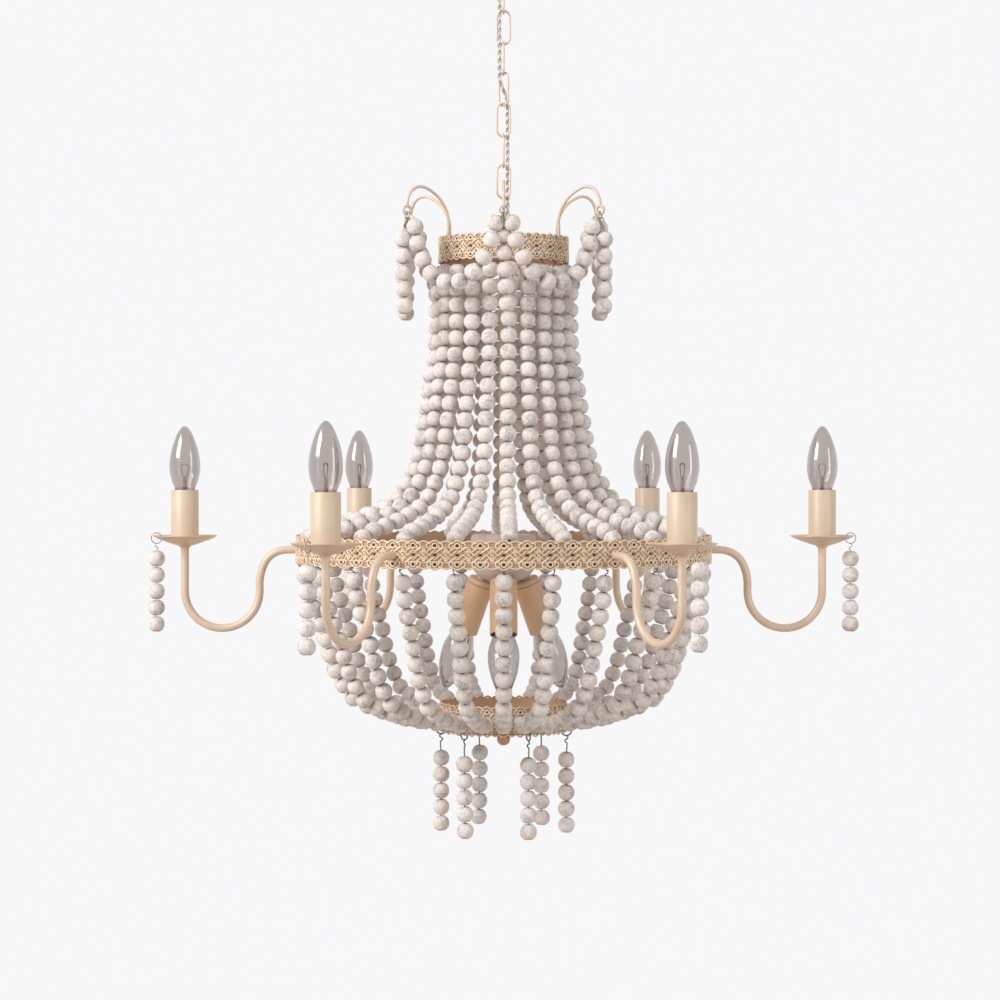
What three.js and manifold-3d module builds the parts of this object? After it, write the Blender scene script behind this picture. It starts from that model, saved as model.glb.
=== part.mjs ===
// Beaded chandelier. A bell and a basket of strung wooden beads hang on three pierced metal rings,
// round six candle arms and three lamps that point down inside the basket. It hangs from a ceiling
// rose by a chain, and its twisted flex is threaded through the chain.
// Millimetres, +Z up. The origin is the middle of the bracket's face that lies on the ceiling.
import * as THREE from "three";
import { mergeVertices } from "three/addons/utils/BufferGeometryUtils.js";
import Module from "manifold-3d";

const wasm = await Module();
wasm.setup();

// Fits that every piece shares.
const clearance = 0.3;
const overrun = 4;
const weldDepth = 0.6;
const weldTolerance = 0.0001;

// Ceiling rose, its bracket and the loop that carries the chain.
const roseRadius = 60;
const roseHeight = 29;
const roseWall = 1.6;
const roseShares = [
  [1, 0],
  [0.95, 0.36],
  [0.68, 0.72],
  [0.3, 0.945],
];
const bracketLength = 92;
const bracketWidth = 20;
const bracketThick = 3;
const bracketScrewSpan = 72;
const bracketScrewRadius = 2.6;
const neckRadius = 5;
const lockCollarRadius = 9;
const lockCollarHeight = 5;
const roseLoopRadius = 13.2;
const roseLoopWireRadius = 1.75;
const roseNeckLength = 5;

// Chain links: outer size, wire, and the way that each link faces about the vertical, in degrees.
const linkLength = 39.8;
const linkWidth = 17;
const linkWireRadius = 1.25;
const linkFacingDegrees = [90, 0, 90, 135, 0, 90, 0];

// Twisted flex through the chain. Its route is chosen by hand, from the rose to the stem's bell.
const flexRadius = 2.4;
const flexHoleRadius = 2.8;
const flexRoute = [
  [-9, -9, -8],
  [-9, -9, -20],
  [-8.9, -8.9, -32],
  [-6.6, -6.6, -44],
  [-4.8, -4.8, -56],
  [-4.6, -4.6, -72],
  [-4.6, -4.6, -96],
  [-4.6, -4.6, -122],
  [-4.6, -4.6, -148],
  [-4.6, -4.6, -166],
  [-4.3, -4.3, -174],
  [-2.4, -2.4, -180],
  [0, 0, -185.2],
  [2.4, 2.4, -190.4],
  [4.3, 4.3, -196.4],
  [4.6, 4.6, -204.4],
  [4.6, 4.6, -226],
  [4.6, 4.6, -252],
  [4.6, 4.6, -278],
  [4.6, 4.6, -304],
  [4.6, 4.6, -324],
  [4.6, 4.6, -340],
];

// Stem down the middle, with the loop that hangs on the lowest link.
const stemLoopRadius = 12.5;
const stemLoopWireRadius = 1.5;
const stemRadius = 5;
const stemBoreRadius = 3.2;
const bellRadius = 11;
const bellHeight = 14;
const bellWall = 1.5;
const stemCollarRadius = 8;
const stemCollarHeight = 4;
const knopRadius = 8;
const knopHeight = 14;
const knopRise = 44;
const stemNutRadius = 9;
const stemNutHeight = 4;

// The three pierced rings. Each one's top is below the stem's bell or the ring above it.
const crownFall = 6.45;
const crownRadius = 73;
const crownHeight = 31;
const bellDepth = 334;
const mainRingRadius = 233;
const mainRingHeight = 33;
const basketDepth = 187;
const bottomRingRadius = 71;
const bottomRingHeight = 36;
const bandThick = 2;
const scallopDepth = 2.6;
const smallRingScallops = 24;
const mainRingScallops = 48;

// Crown arms: thin wires that rise from the crown and curl over, with an eye at the tip.
const crownArms = 6;
const crownArmWireRadius = 1.5;
const crownArmRoot = 12;
const crownArmReach = 51.5;
const crownArmRise = 62.5;
const crownArmShares = [
  [0, 0],
  [0, 0.3],
  [0.09, 0.64],
  [0.3, 0.89],
  [0.6, 1],
  [0.87, 0.92],
  [1, 0.65],
];
const eyeRadius = 4.5;
const spiderBarWidth = 6;
const spiderBarThick = 6;
const spiderBossRadius = 9;
const spiderLift = 3;

// Beads and the wire that they are strung on.
const strandBeadRadius = 9.6;
const basketBeadRadius = 9.4;
const dropBeadRadius = 9.2;
const beadPitch = 18.4;
const threadRadius = 1;
const strands = 24;
const strandSectors = 3;
const dropBeads = 5;

// Garland on the crown arms: swags from tip to tip, and a straight drop under each tip.
const garlandRingRadius = 4;
const garlandWireRadius = 0.8;
const swagSag = 62;
const swagHang = 10;
const swagShares = [
  [0.09, 0.02],
  [0.17, 0.49],
  [0.28, 0.84],
  [0.428, 1],
];
const crownDropHang = 23;
const crownDropOffset = 5.5;

// Paths of the strands: share of the way out or in, and share of the way down.
const bellShares = [
  [0, 0],
  [0.007, 0.26],
  [0.063, 0.476],
  [0.146, 0.692],
  [0.235, 0.82],
  [0.36, 0.91],
  [1, 1],
];
const basketShares = [
  [0, 0],
  [0.05, 0.17],
  [0.125, 0.36],
  [0.22, 0.58],
  [0.34, 0.79],
  [0.5, 0.91],
  [1, 1],
];
const bellTopOverhang = 2.5;
const bellEndSettle = 2;
const basketEndLift = 23;

// Candle arms. Each runs out through the main ring, drops, and turns up again into its pan.
const candleArms = 6;
const armTubeRadius = 4.5;
const armInset = 18;
const armRunOut = 14.4;
const armElbowRadius = 27;
const armBendRadius = 42;
const armSag = 91.5;
const panRise = 16;
const panRadius = 35.9;
const panDepth = 15.5;
const panWall = 1.6;
const panFloorDepth = 11;
const panFloorRadius = 17;
const panShares = [
  [0.28, 0.95],
  [0.67, 0.55],
];
const hookRingRadius = 6;
const hookWireRadius = 0.6;
const hookHoleRadius = 1.7;
const hookPanRadius = 32;
const hookPanDepth = 2.6;
const hookPassShare = 0.83;
const armDropHang = 23;

// Candle tubes with the lampholder inside, and candle bulbs.
const sleeveRadius = 15.4;
const sleeveLength = 60;
const sleeveWall = 1.5;
const holderDepth = 14;
const socketRadius = 7.4;
const socketDepth = 26;
const bulbRadius = 17.5;
const bulbHeight = 72;
const bulbShares = [
  [0.6, 0],
  [0.94, 0.18],
  [1, 0.33],
  [0.82, 0.6],
  [0.42, 0.86],
  [0, 1],
];

// Hub in the middle of the main ring, and the lamps that hang from it into the basket.
const hubRadius = 37;
const hubHeight = 50;
const hubFloorRadius = 13;
const hubShares = [
  [0.94, 0],
  [1, 0.08],
  [1, 0.52],
  [0.86, 0.74],
];
const innerLamps = 3;
const innerLampRadius = 30;
const innerLampFall = 7;
const innerLampTiltDegrees = 22;
const innerLampTurnShare = 0.25;
const nippleRadius = 4.5;
const nippleLength = 30;

// Bottom ring's bar, its ball finial and its drops.
const crossBarWidth = 8;
const crossBarThick = 3;
const crossBarRise = 4;
const finialRadius = 7.5;
const finialStemRadius = 2.5;
const finialStemLength = 4;
const finialShares = [
  [0.8, 0.2],
  [1, 0.5],
  [0.75, 0.83],
];
const bottomDrops = 6;
const bottomDropTurnDegrees = -7.5;
const bottomDropHang = 33;
const bottomHookRise = 3;

// Facets round each kind of round piece.
const bandTurns = 2;
const tubeSides = 8;
const thinSides = 5;
const beadSides = 5;
const turnedSides = 10;
const candleSides = 8;
const broadSides = 18;
const hookSteps = 6;
const hookSides = 4;
const loopSteps = 12;
const flexSteps = 26;
const elbowSteps = 3;
const bendSteps = 6;

// Materials, with the colours and finishes of the real one.
const paint = new THREE.MeshStandardMaterial({ color: 0xe9dcc2, roughness: 0.55, metalness: 0.1 });
const filigree = new THREE.MeshStandardMaterial({ color: 0xd9b98f, roughness: 0.5, metalness: 0.3 });
const sleevePaint = new THREE.MeshStandardMaterial({ color: 0xeadfc6, roughness: 0.5, metalness: 0 });
const wood = new THREE.MeshStandardMaterial({ color: 0xd8cdc6, roughness: 0.85, metalness: 0 });
const copper = new THREE.MeshStandardMaterial({ color: 0xb5714f, roughness: 0.45, metalness: 0.6 });
const flexSkin = new THREE.MeshStandardMaterial({ color: 0xb9b4ad, roughness: 0.35, metalness: 0.1 });
const glass = new THREE.MeshStandardMaterial({
  color: 0xdde0e2,
  roughness: 0.05,
  metalness: 0,
  transparent: true,
  opacity: 0.4,
});

const fullTurn = 2 * Math.PI;
const radians = THREE.MathUtils.degToRad;
const upright = new THREE.Vector3(0, 0, 1);

const chandelier = new THREE.Group();

// A closed geometry as a solid that manifold-3d can join and cut, turned so its faces point out.
function solid(geometry) {
  const bare = geometry.clone();
  bare.deleteAttribute("normal");
  bare.deleteAttribute("uv");
  const welded = mergeVertices(bare, weldTolerance);
  const corners = welded.index.array;
  const make = () =>
    new wasm.Manifold(
      new wasm.Mesh({
        numProp: 3,
        vertProperties: new Float32Array(welded.attributes.position.array),
        triVerts: new Uint32Array(corners),
      }),
    );
  const made = make();
  if (made.volume() > 0) return made;
  for (let i = 0; i < corners.length; i += 3) {
    [corners[i + 1], corners[i + 2]] = [corners[i + 2], corners[i + 1]];
  }
  return make();
}

function joined(geometries) {
  return geometries.map(solid).reduce((whole, part) => whole.add(part));
}

function piece(name, material, made, parent = chandelier) {
  const body = made.getMesh ? made : solid(made);
  const mesh = body.getMesh();
  const geometry = new THREE.BufferGeometry();
  geometry.setAttribute("position", new THREE.BufferAttribute(mesh.vertProperties, 3));
  geometry.setIndex(new THREE.BufferAttribute(mesh.triVerts, 1));
  geometry.computeVertexNormals();
  const object = new THREE.Mesh(geometry, material);
  object.name = name;
  parent.add(object);
  return object;
}

// A group turned about the vertical axis, in which a piece is placed along +X.
function turned(angle, parent = chandelier) {
  const group = new THREE.Group();
  group.rotation.z = angle;
  parent.add(group);
  return group;
}

// A route given by its own points, so a tube takes a step only where it bends.
class Route extends THREE.Curve {
  constructor(points) {
    super();
    this.points = points;
  }

  getPoint(t, target = new THREE.Vector3()) {
    const last = this.points.length - 1;
    const index = Math.min(Math.floor(t * last), last - 1);
    return target.lerpVectors(this.points[index], this.points[index + 1], t * last - index);
  }

  getPointAt(u, target) {
    return this.getPoint(u, target);
  }

  getSpacedPoints(divisions) {
    return this.getPoints(divisions);
  }

  getTangentAt(u, target = new THREE.Vector3()) {
    const last = this.points.length - 1;
    const index = Math.round(u * last);
    const before = this.points[Math.max(index - 1, 0)];
    const here = this.points[index];
    const after = this.points[Math.min(index + 1, last)];
    const into = new THREE.Vector3().subVectors(here, before).normalize();
    const out = new THREE.Vector3().subVectors(after, here).normalize();
    return target.addVectors(into, out).normalize();
  }
}

// Points in the upright plane through the axis: distance from the axis, and drop below the ceiling.
function radialPoints(pairs) {
  return pairs.map(([radius, drop]) => new THREE.Vector3(radius, 0, -drop));
}

function roundSection(radius, sides) {
  const corners = [];
  for (let i = 0; i < sides; i++) {
    const angle = (fullTurn * (i + 0.5)) / sides;
    corners.push(new THREE.Vector2(radius * Math.cos(angle), radius * Math.sin(angle)));
  }
  return new THREE.Shape(corners);
}

function tube(points, radius, sides) {
  return new THREE.ExtrudeGeometry(roundSection(radius, sides), {
    steps: points.length - 1,
    extrudePath: new Route(points),
  });
}

// A lathed solid about Z from pairs of radius and drop.
function turnedPiece(pairs, sides) {
  const outline = pairs.map(([radius, drop]) => new THREE.Vector2(radius, -drop));
  return new THREE.LatheGeometry(outline, sides).rotateX(Math.PI / 2);
}

function uprightRod(radius, topDrop, bottomDrop, sides) {
  const rod = new THREE.CylinderGeometry(radius, radius, bottomDrop - topDrop, sides);
  return rod.rotateX(Math.PI / 2).translate(0, 0, -(topDrop + bottomDrop) / 2);
}

// A wire ring in the XZ plane, with a flat step of wire at its top and bottom.
function wireRing(radius, wireRadius, steps, sides) {
  const halfStep = Math.PI / steps;
  const ring = new THREE.TorusGeometry(radius / Math.cos(halfStep), wireRadius, sides, steps);
  return ring.rotateZ(halfStep + Math.PI / 2).rotateX(Math.PI / 2);
}

// A band round the axis whose two edges rise and fall in scallops.
function scallopedBand(radius, topDrop, height, scallops) {
  const inner = radius - bandThick / 2;
  const outer = radius + bandThick / 2;
  const outline = [
    [inner, topDrop],
    [outer, topDrop],
    [outer, topDrop + height],
    [inner, topDrop + height],
    [inner, topDrop],
  ];
  const segments = scallops * bandTurns;
  const band = turnedPiece(outline, segments);
  const places = band.attributes.position;
  for (let i = 0; i < places.count; i++) {
    const step = Math.round((Math.atan2(places.getY(i), places.getX(i)) * segments) / fullTurn);
    const isValley = Math.abs(step) % bandTurns === 1;
    const isTop = -places.getZ(i) < topDrop + height / 2;
    if (isValley) {
      places.setZ(i, places.getZ(i) + (isTop ? -scallopDepth : scallopDepth));
    }
  }
  return band;
}

// A straight string of beads hanging from the origin, with bare wire down to the first bead.
function beadString(hang, beads, beadRadius, wireRadius) {
  const outline = [
    [0, 0],
    [wireRadius, 0],
    [wireRadius, hang - beadRadius],
  ];
  for (let i = 0; i < beads; i++) {
    const middle = hang + i * beadPitch;
    outline.push([beadRadius, middle]);
    if (i < beads - 1) {
      outline.push([wireRadius, middle + beadPitch / 2]);
    }
  }
  outline.push([0, hang + (beads - 1) * beadPitch + beadRadius]);
  return turnedPiece(outline, beadSides);
}

// A string laid along stations that lie in one upright plane: a lathed string whose rings are moved.
function strungAlong(stations, across) {
  const outline = [new THREE.Vector2(0, 0)];
  stations.forEach((station, i) => outline.push(new THREE.Vector2(station.radius, i)));
  outline.push(new THREE.Vector2(0, stations.length - 1));
  const string = new THREE.LatheGeometry(outline, beadSides);
  const route = new Route(stations.map((station) => station.point));
  const places = string.attributes.position;
  for (let i = 0; i < places.count; i++) {
    const index = Math.round(places.getY(i));
    const along = route.getTangentAt(index / (stations.length - 1));
    const up = new THREE.Vector3().crossVectors(across, along).normalize();
    const place = stations[index].point.clone();
    place.addScaledVector(across, places.getX(i));
    place.addScaledVector(up, places.getZ(i));
    places.setXYZ(i, place.x, place.y, place.z);
  }
  return string;
}

// Chain: heights of the loops and links from the rose down.
const roseLoopDrop = roseHeight + clearance + lockCollarHeight + roseNeckLength + roseLoopRadius;
const linkHalf = linkLength / 2 - linkWireRadius;
const linkContact = 2 * linkWireRadius + clearance;
const linkPitch = 2 * linkHalf - linkContact;
const firstLinkContact = linkWireRadius + roseLoopWireRadius + clearance;
const firstLinkDrop = roseLoopDrop + roseLoopRadius - firstLinkContact + linkHalf;
const linkDrops = linkFacingDegrees.map((_, i) => firstLinkDrop + i * linkPitch);
const lastLinkBottom = linkDrops[linkDrops.length - 1] + linkHalf;
const stemContact = linkWireRadius + stemLoopWireRadius + clearance;
const stemLoopDrop = lastLinkBottom - stemContact + stemLoopRadius;
const bellDrop = stemLoopDrop + stemLoopRadius + stemLoopWireRadius - weldDepth;

// Places of the rings, the arms, the pans and the hub, with heights as drops below the ceiling.
const crownDrop = bellDrop + bellHeight + crownFall;
const mainRingDrop = crownDrop + bellDepth;
const bottomRingDrop = mainRingDrop + basketDepth;
const bellTopRadius = crownRadius + bellTopOverhang;
const armDrop = mainRingDrop + armInset;
const armLowDrop = armDrop + armSag;
const panRimDrop = armDrop - panRise;
const hubDrop = mainRingDrop;
const innerLampDrop = hubDrop + hubHeight + innerLampFall;
const armDownRadius = mainRingRadius + armRunOut + armElbowRadius;
const armPanRadius = armDownRadius + 2 * armBendRadius;

// Ceiling bracket with its threaded neck, lock collar and loop, and the rose that covers it.
function makeCeiling() {
  const bar = new THREE.BoxGeometry(bracketLength, bracketWidth, bracketThick);
  bar.translate(0, 0, -bracketThick / 2);
  const neckEnd = roseLoopDrop - roseLoopRadius;
  const neck = uprightRod(neckRadius, bracketThick / 2, neckEnd, turnedSides);
  const collarTop = roseHeight + clearance;
  const collar = uprightRod(lockCollarRadius, collarTop, collarTop + lockCollarHeight, turnedSides);
  const loop = wireRing(roseLoopRadius, roseLoopWireRadius, loopSteps, thinSides);
  loop.translate(0, 0, -roseLoopDrop);
  let hanger = joined([bar, neck, collar, loop]);
  for (const side of [-1, 1]) {
    const hole = uprightRod(bracketScrewRadius, -overrun, bracketThick + overrun, tubeSides);
    hole.translate((side * bracketScrewSpan) / 2, 0, 0);
    hanger = hanger.subtract(solid(hole));
  }
  piece("ceiling_hanger", paint, hanger);

  const mouth = neckRadius + clearance;
  const outside = roseShares.map(([out, down]) => [out * roseRadius, down * roseHeight]);
  const inside = outside.map(([radius, drop]) => [radius - roseWall, Math.max(drop - roseWall, 0)]);
  const outline = [
    ...outside,
    [mouth, roseHeight],
    [mouth, roseHeight - roseWall],
    ...inside.reverse(),
    outside[0],
  ];
  const [flexX, flexY] = flexRoute[0];
  const flexHole = uprightRod(flexHoleRadius, roseHeight / 2, roseHeight + overrun, tubeSides);
  flexHole.translate(flexX, flexY, 0);
  piece("ceiling_rose", paint, solid(turnedPiece(outline, broadSides)).subtract(solid(flexHole)));
}

// Chain link: a ring pulled out along Z into two straight sides.
function makeChain() {
  const bendRadius = linkWidth / 2 - linkWireRadius;
  linkFacingDegrees.forEach((facing, i) => {
    const link = wireRing(bendRadius, linkWireRadius, loopSteps, thinSides);
    const places = link.attributes.position;
    for (let v = 0; v < places.count; v++) {
      const stretch = Math.sign(places.getZ(v)) * (linkHalf - bendRadius);
      places.setZ(v, places.getZ(v) + stretch);
    }
    const mesh = piece("chain_link_" + (i + 1), paint, link);
    mesh.position.z = -linkDrops[i];
    mesh.rotation.z = radians(facing);
  });
}

function makeFlex() {
  const route = new THREE.CatmullRomCurve3(flexRoute.map((place) => new THREE.Vector3(...place)));
  const skin = new THREE.ExtrudeGeometry(roundSection(flexRadius, tubeSides), {
    steps: flexSteps,
    extrudePath: route,
  });
  piece("flex", flexSkin, skin);
}

function makeStem() {
  const tubeTop = bellDrop + bellHeight;
  const cavityTop = bellDrop + bellWall;
  const collarTop = crownDrop + crownHeight - spiderLift + clearance;
  const nutTop = hubDrop + hubHeight + clearance;
  const knopDrop = hubDrop - knopRise;
  const stem = turnedPiece(
    [
      [0, bellDrop],
      [bellRadius, bellDrop],
      [bellRadius, tubeTop],
      [stemRadius, tubeTop + bellWall],
      [stemRadius, collarTop],
      [stemCollarRadius, collarTop],
      [stemCollarRadius, collarTop + stemCollarHeight],
      [stemRadius, collarTop + stemCollarHeight],
      [stemRadius, knopDrop],
      [knopRadius, knopDrop + knopHeight / 2],
      [stemRadius, knopDrop + knopHeight],
      [stemRadius, nutTop],
      [stemNutRadius, nutTop],
      [stemNutRadius, nutTop + stemNutHeight],
      [stemBoreRadius, nutTop + stemNutHeight],
      [stemBoreRadius, tubeTop - bellWall],
      [bellRadius - bellWall, tubeTop - bellWall],
      [bellRadius - bellWall, cavityTop],
      [0, cavityTop],
    ],
    turnedSides,
  );
  const loop = wireRing(stemLoopRadius, stemLoopWireRadius, loopSteps, thinSides);
  loop.rotateZ(Math.PI / 2).translate(0, 0, -stemLoopDrop);
  const [flexX, flexY] = flexRoute[flexRoute.length - 1];
  const flexHole = uprightRod(flexHoleRadius, bellDrop - overrun, cavityTop + overrun, tubeSides);
  flexHole.translate(flexX, flexY, 0);
  piece("stem", paint, joined([stem, loop]).subtract(solid(flexHole)));
}

// Where a crown arm's tip is, and the eye and garland ring that hang from it.
const crownTipRadius = crownRadius - bandThick + crownArmReach;
const crownArmStart = crownDrop + crownArmRoot;
const lastArmShare = crownArmShares[crownArmShares.length - 1];
const crownTipDrop = crownArmStart - lastArmShare[1] * crownArmRise;
const eyeDrop = crownTipDrop + eyeRadius;
const garlandContact = crownArmWireRadius + garlandWireRadius + clearance;
const garlandRingDrop = eyeDrop + eyeRadius - garlandContact + garlandRingRadius;
const crownArmAngle = (i) => fullTurn * ((i + 0.5) / crownArms);

function makeCrown() {
  const parts = [scallopedBand(crownRadius, crownDrop, crownHeight, smallRingScallops)];
  const root = crownRadius - bandThick;
  const bend = crownArmShares.map(([out, up]) => [
    root + out * crownArmReach,
    crownArmStart - up * crownArmRise,
  ]);
  for (let i = 0; i < crownArms; i++) {
    const wire = tube(radialPoints(bend), crownArmWireRadius, hookSides);
    const eye = wireRing(eyeRadius, crownArmWireRadius, hookSteps, hookSides);
    eye.translate(crownTipRadius, 0, -eyeDrop);
    parts.push(wire.rotateZ(crownArmAngle(i)), eye.rotateZ(crownArmAngle(i)));
  }
  const bossBottom = crownDrop + crownHeight - spiderLift;
  const bossTop = bossBottom - spiderBarThick;
  const barLength = 2 * (crownRadius - bandThick / 4);
  for (let i = 0; i < crownArms / 2; i++) {
    const bar = new THREE.BoxGeometry(barLength, spiderBarWidth, spiderBarThick);
    bar.translate(0, 0, -(bossTop + bossBottom) / 2).rotateZ(crownArmAngle(i));
    parts.push(bar);
  }
  parts.push(uprightRod(spiderBossRadius, bossTop, bossBottom, turnedSides));
  const bore = uprightRod(stemRadius + clearance, bossTop - overrun, bossBottom + overrun, turnedSides);
  piece("crown", filigree, joined(parts).subtract(solid(bore)));
}

// Stations of a string with bare wire at both ends. A loose string is narrow between its beads.
function beadStations(start, centres, end, isLoose) {
  const stations = [{ point: start, radius: garlandWireRadius }];
  centres.forEach((centre, i) => {
    if (isLoose || i === 0) {
      const before = i === 0 ? start : centres[i - 1];
      stations.push({ point: before.clone().lerp(centre, 0.5), radius: threadRadius });
    }
    stations.push({ point: centre, radius: dropBeadRadius });
  });
  const last = centres[centres.length - 1];
  stations.push({ point: last.clone().lerp(end, 0.5), radius: threadRadius });
  stations.push({ point: end, radius: garlandWireRadius });
  return stations;
}

// Swags from tip to tip and a drop under each tip, strung as one garland.
function makeGarland() {
  const wireEnd = garlandRingDrop + garlandRingRadius - garlandWireRadius / 2;
  const parts = [];
  for (let i = 0; i < crownArms; i++) {
    const from = crownArmAngle(i);
    const hook = new THREE.Vector3(crownTipRadius, 0, -wireEnd);
    const start = hook.clone().applyAxisAngle(upright, from);
    const end = hook.clone().applyAxisAngle(upright, crownArmAngle(i + 1));
    const mirrored = swagShares.map(([along, sag]) => [1 - along, sag]).reverse();
    const swagBeads = [...swagShares, ...mirrored].map(([along, sag]) => {
      const place = new THREE.Vector3().lerpVectors(start, end, along);
      place.z -= swagHang + sag * swagSag;
      return place;
    });
    const across = new THREE.Vector3().subVectors(end, start).normalize().cross(upright);
    parts.push(strungAlong(beadStations(start, swagBeads, end, false), across));

    const fallBeads = [];
    for (let b = 0; b < dropBeads; b++) {
      const down = wireEnd + crownDropHang + b * beadPitch;
      fallBeads.push(new THREE.Vector3(crownTipRadius + crownDropOffset, 0, -down));
    }
    const foot = fallBeads[dropBeads - 1].clone();
    foot.z -= dropBeadRadius;
    const fall = beadStations(hook, fallBeads, foot, true);
    parts.push(strungAlong(fall, new THREE.Vector3(0, 1, 0)).rotateZ(from));

    const ring = wireRing(garlandRingRadius, garlandWireRadius, hookSteps, hookSides);
    ring.rotateZ(Math.PI / 2).translate(crownTipRadius, 0, -garlandRingDrop);
    parts.push(ring.rotateZ(from));
  }
  piece("crown_garland", wood, joined(parts));
}

function makeMainRing() {
  let ring = solid(scallopedBand(mainRingRadius, mainRingDrop, mainRingHeight, mainRingScallops));
  for (let i = 0; i < candleArms; i++) {
    const hole = new THREE.CylinderGeometry(
      armTubeRadius + clearance,
      armTubeRadius + clearance,
      2 * overrun,
      tubeSides,
    );
    hole.rotateZ(Math.PI / 2).rotateX(Math.PI / tubeSides);
    hole.translate(mainRingRadius, 0, -armDrop).rotateZ((fullTurn * i) / candleArms);
    ring = ring.subtract(solid(hole));
  }
  piece("main_ring", filigree, ring);
}

// The rings of the bottom drops hang on the lower edge of their holes in the bottom ring.
const bottomHookDrop = bottomRingDrop + bottomRingHeight - bottomHookRise;
const bottomHookSlack = hookHoleRadius - hookWireRadius - clearance;
const bottomHoleDrop = bottomHookDrop - hookRingRadius - bottomHookSlack;

function makeBottomRing() {
  const barBottom = bottomRingDrop + bottomRingHeight - crossBarRise;
  const barLength = 2 * (bottomRingRadius - bandThick / 4);
  const bar = new THREE.BoxGeometry(barLength, crossBarWidth, crossBarThick);
  bar.translate(0, 0, -barBottom + crossBarThick / 2);
  const band = scallopedBand(bottomRingRadius, bottomRingDrop, bottomRingHeight, smallRingScallops);
  let ring = joined([band, bar]);
  for (let i = 0; i < bottomDrops; i++) {
    const hole = new THREE.CylinderGeometry(hookHoleRadius, hookHoleRadius, 2 * overrun, tubeSides);
    hole.rotateZ(Math.PI / 2).translate(bottomRingRadius, 0, -bottomHoleDrop);
    hole.rotateZ(radians(bottomDropTurnDegrees) + (fullTurn * i) / bottomDrops);
    ring = ring.subtract(solid(hole));
  }
  piece("bottom_ring", filigree, ring);

  const stemTop = barBottom + clearance;
  const ballTop = stemTop + finialStemLength - clearance;
  const ball = finialShares.map(([out, down]) => [
    out * finialRadius,
    ballTop + down * 2 * finialRadius,
  ]);
  const outline = [
    [0, stemTop],
    [finialStemRadius, stemTop],
    [finialStemRadius, ballTop],
    ...ball,
    [0, ballTop + 2 * finialRadius],
  ];
  piece("finial", copper, turnedPiece(outline, turnedSides));
}

// Strands of the bell or the basket, a third of the way round in each piece, on one joining wire.
function makeStrands(name, pairs, beadRadius, wireIndex) {
  const perSector = strands / strandSectors;
  const [wireRadiusOut, wireDrop] = pairs[wireIndex];
  for (let sector = 0; sector < strandSectors; sector++) {
    const parts = [];
    const angleOf = (i) => (fullTurn * (sector * perSector + i)) / strands;
    for (let i = 0; i < perSector; i++) {
      parts.push(tube(radialPoints(pairs), beadRadius, beadSides).rotateZ(angleOf(i)));
    }
    const arc = [];
    for (let i = 0; i < perSector; i++) {
      const place = new THREE.Vector3(wireRadiusOut, 0, -wireDrop);
      arc.push(place.applyAxisAngle(upright, angleOf(i)));
    }
    parts.push(tube(arc, threadRadius, hookSides));
    piece(name + "_" + (sector + 1), wood, joined(parts));
  }
}

function makeBell() {
  const top = crownDrop + crownHeight + clearance;
  const end = mainRingDrop - bellEndSettle;
  const outer = mainRingRadius - bandThick / 2 - clearance;
  const path = bellShares.map(([out, down]) => [
    bellTopRadius + out * (outer - bellTopRadius),
    top + down * (end - top),
  ]);
  path.splice(1, 0, [bellTopRadius, top + strandBeadRadius]);
  makeStrands("bell_strands", path, strandBeadRadius - 2 * clearance, 1);
}

function makeBasket() {
  const top = mainRingDrop + mainRingHeight + clearance;
  const end = bottomRingDrop + basketEndLift;
  const inner = bottomRingRadius + bandThick / 2 + clearance;
  const outer = mainRingRadius - bandThick;
  const path = basketShares.map(([inward, down]) => [
    outer - inward * (outer - inner),
    top + down * (end - top),
  ]);
  const last = path[path.length - 1];
  path.splice(path.length - 1, 0, [last[0] + 2 * basketBeadRadius, last[1]]);
  makeStrands("basket_strands", path, basketBeadRadius - 2 * clearance, path.length - 2);
}

// Profile of a candle arm, from the hub out through the ring, down, round and up to the pan.
function armRoute() {
  const pairs = [[hubRadius + clearance, armDrop]];
  for (let i = 0; i <= elbowSteps; i++) {
    const angle = (Math.PI / 2) * (i / elbowSteps);
    pairs.push([
      armDownRadius - armElbowRadius * (1 - Math.sin(angle)),
      armDrop + armElbowRadius * (1 - Math.cos(angle)),
    ]);
  }
  const bendDrop = armLowDrop - armBendRadius;
  for (let i = 0; i <= bendSteps; i++) {
    const angle = Math.PI * (1 - i / bendSteps);
    pairs.push([
      armPanRadius - armBendRadius + armBendRadius * Math.cos(angle),
      bendDrop + armBendRadius * Math.sin(angle),
    ]);
  }
  pairs.push([armPanRadius, panRimDrop + panDepth - panWall]);
  return radialPoints(pairs);
}

function makeCandleArm(name, parent) {
  const under = panShares.map(([out, down]) => [out * panRadius, down * panDepth]);
  const over = under.slice(1).map(([radius, drop]) => [radius, drop - panWall]);
  const outline = [
    [0, panDepth],
    ...under,
    [panRadius, 0],
    [panRadius - panWall / 2, -panWall / 2],
    ...over,
    [panFloorRadius, panFloorDepth],
    [0, panFloorDepth],
  ];
  const pan = turnedPiece(outline, turnedSides);
  pan.rotateZ(Math.PI / turnedSides).translate(armPanRadius, 0, -panRimDrop);
  const hole = uprightRod(hookHoleRadius, -overrun, panDepth + overrun, tubeSides);
  const holeRadius = armPanRadius + hookPanRadius - hookPassShare * hookRingRadius;
  hole.translate(holeRadius, 0, -panRimDrop);
  const arm = joined([tube(armRoute(), armTubeRadius, tubeSides), pan]);
  piece(name, paint, arm.subtract(solid(hole)), parent);
}

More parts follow.
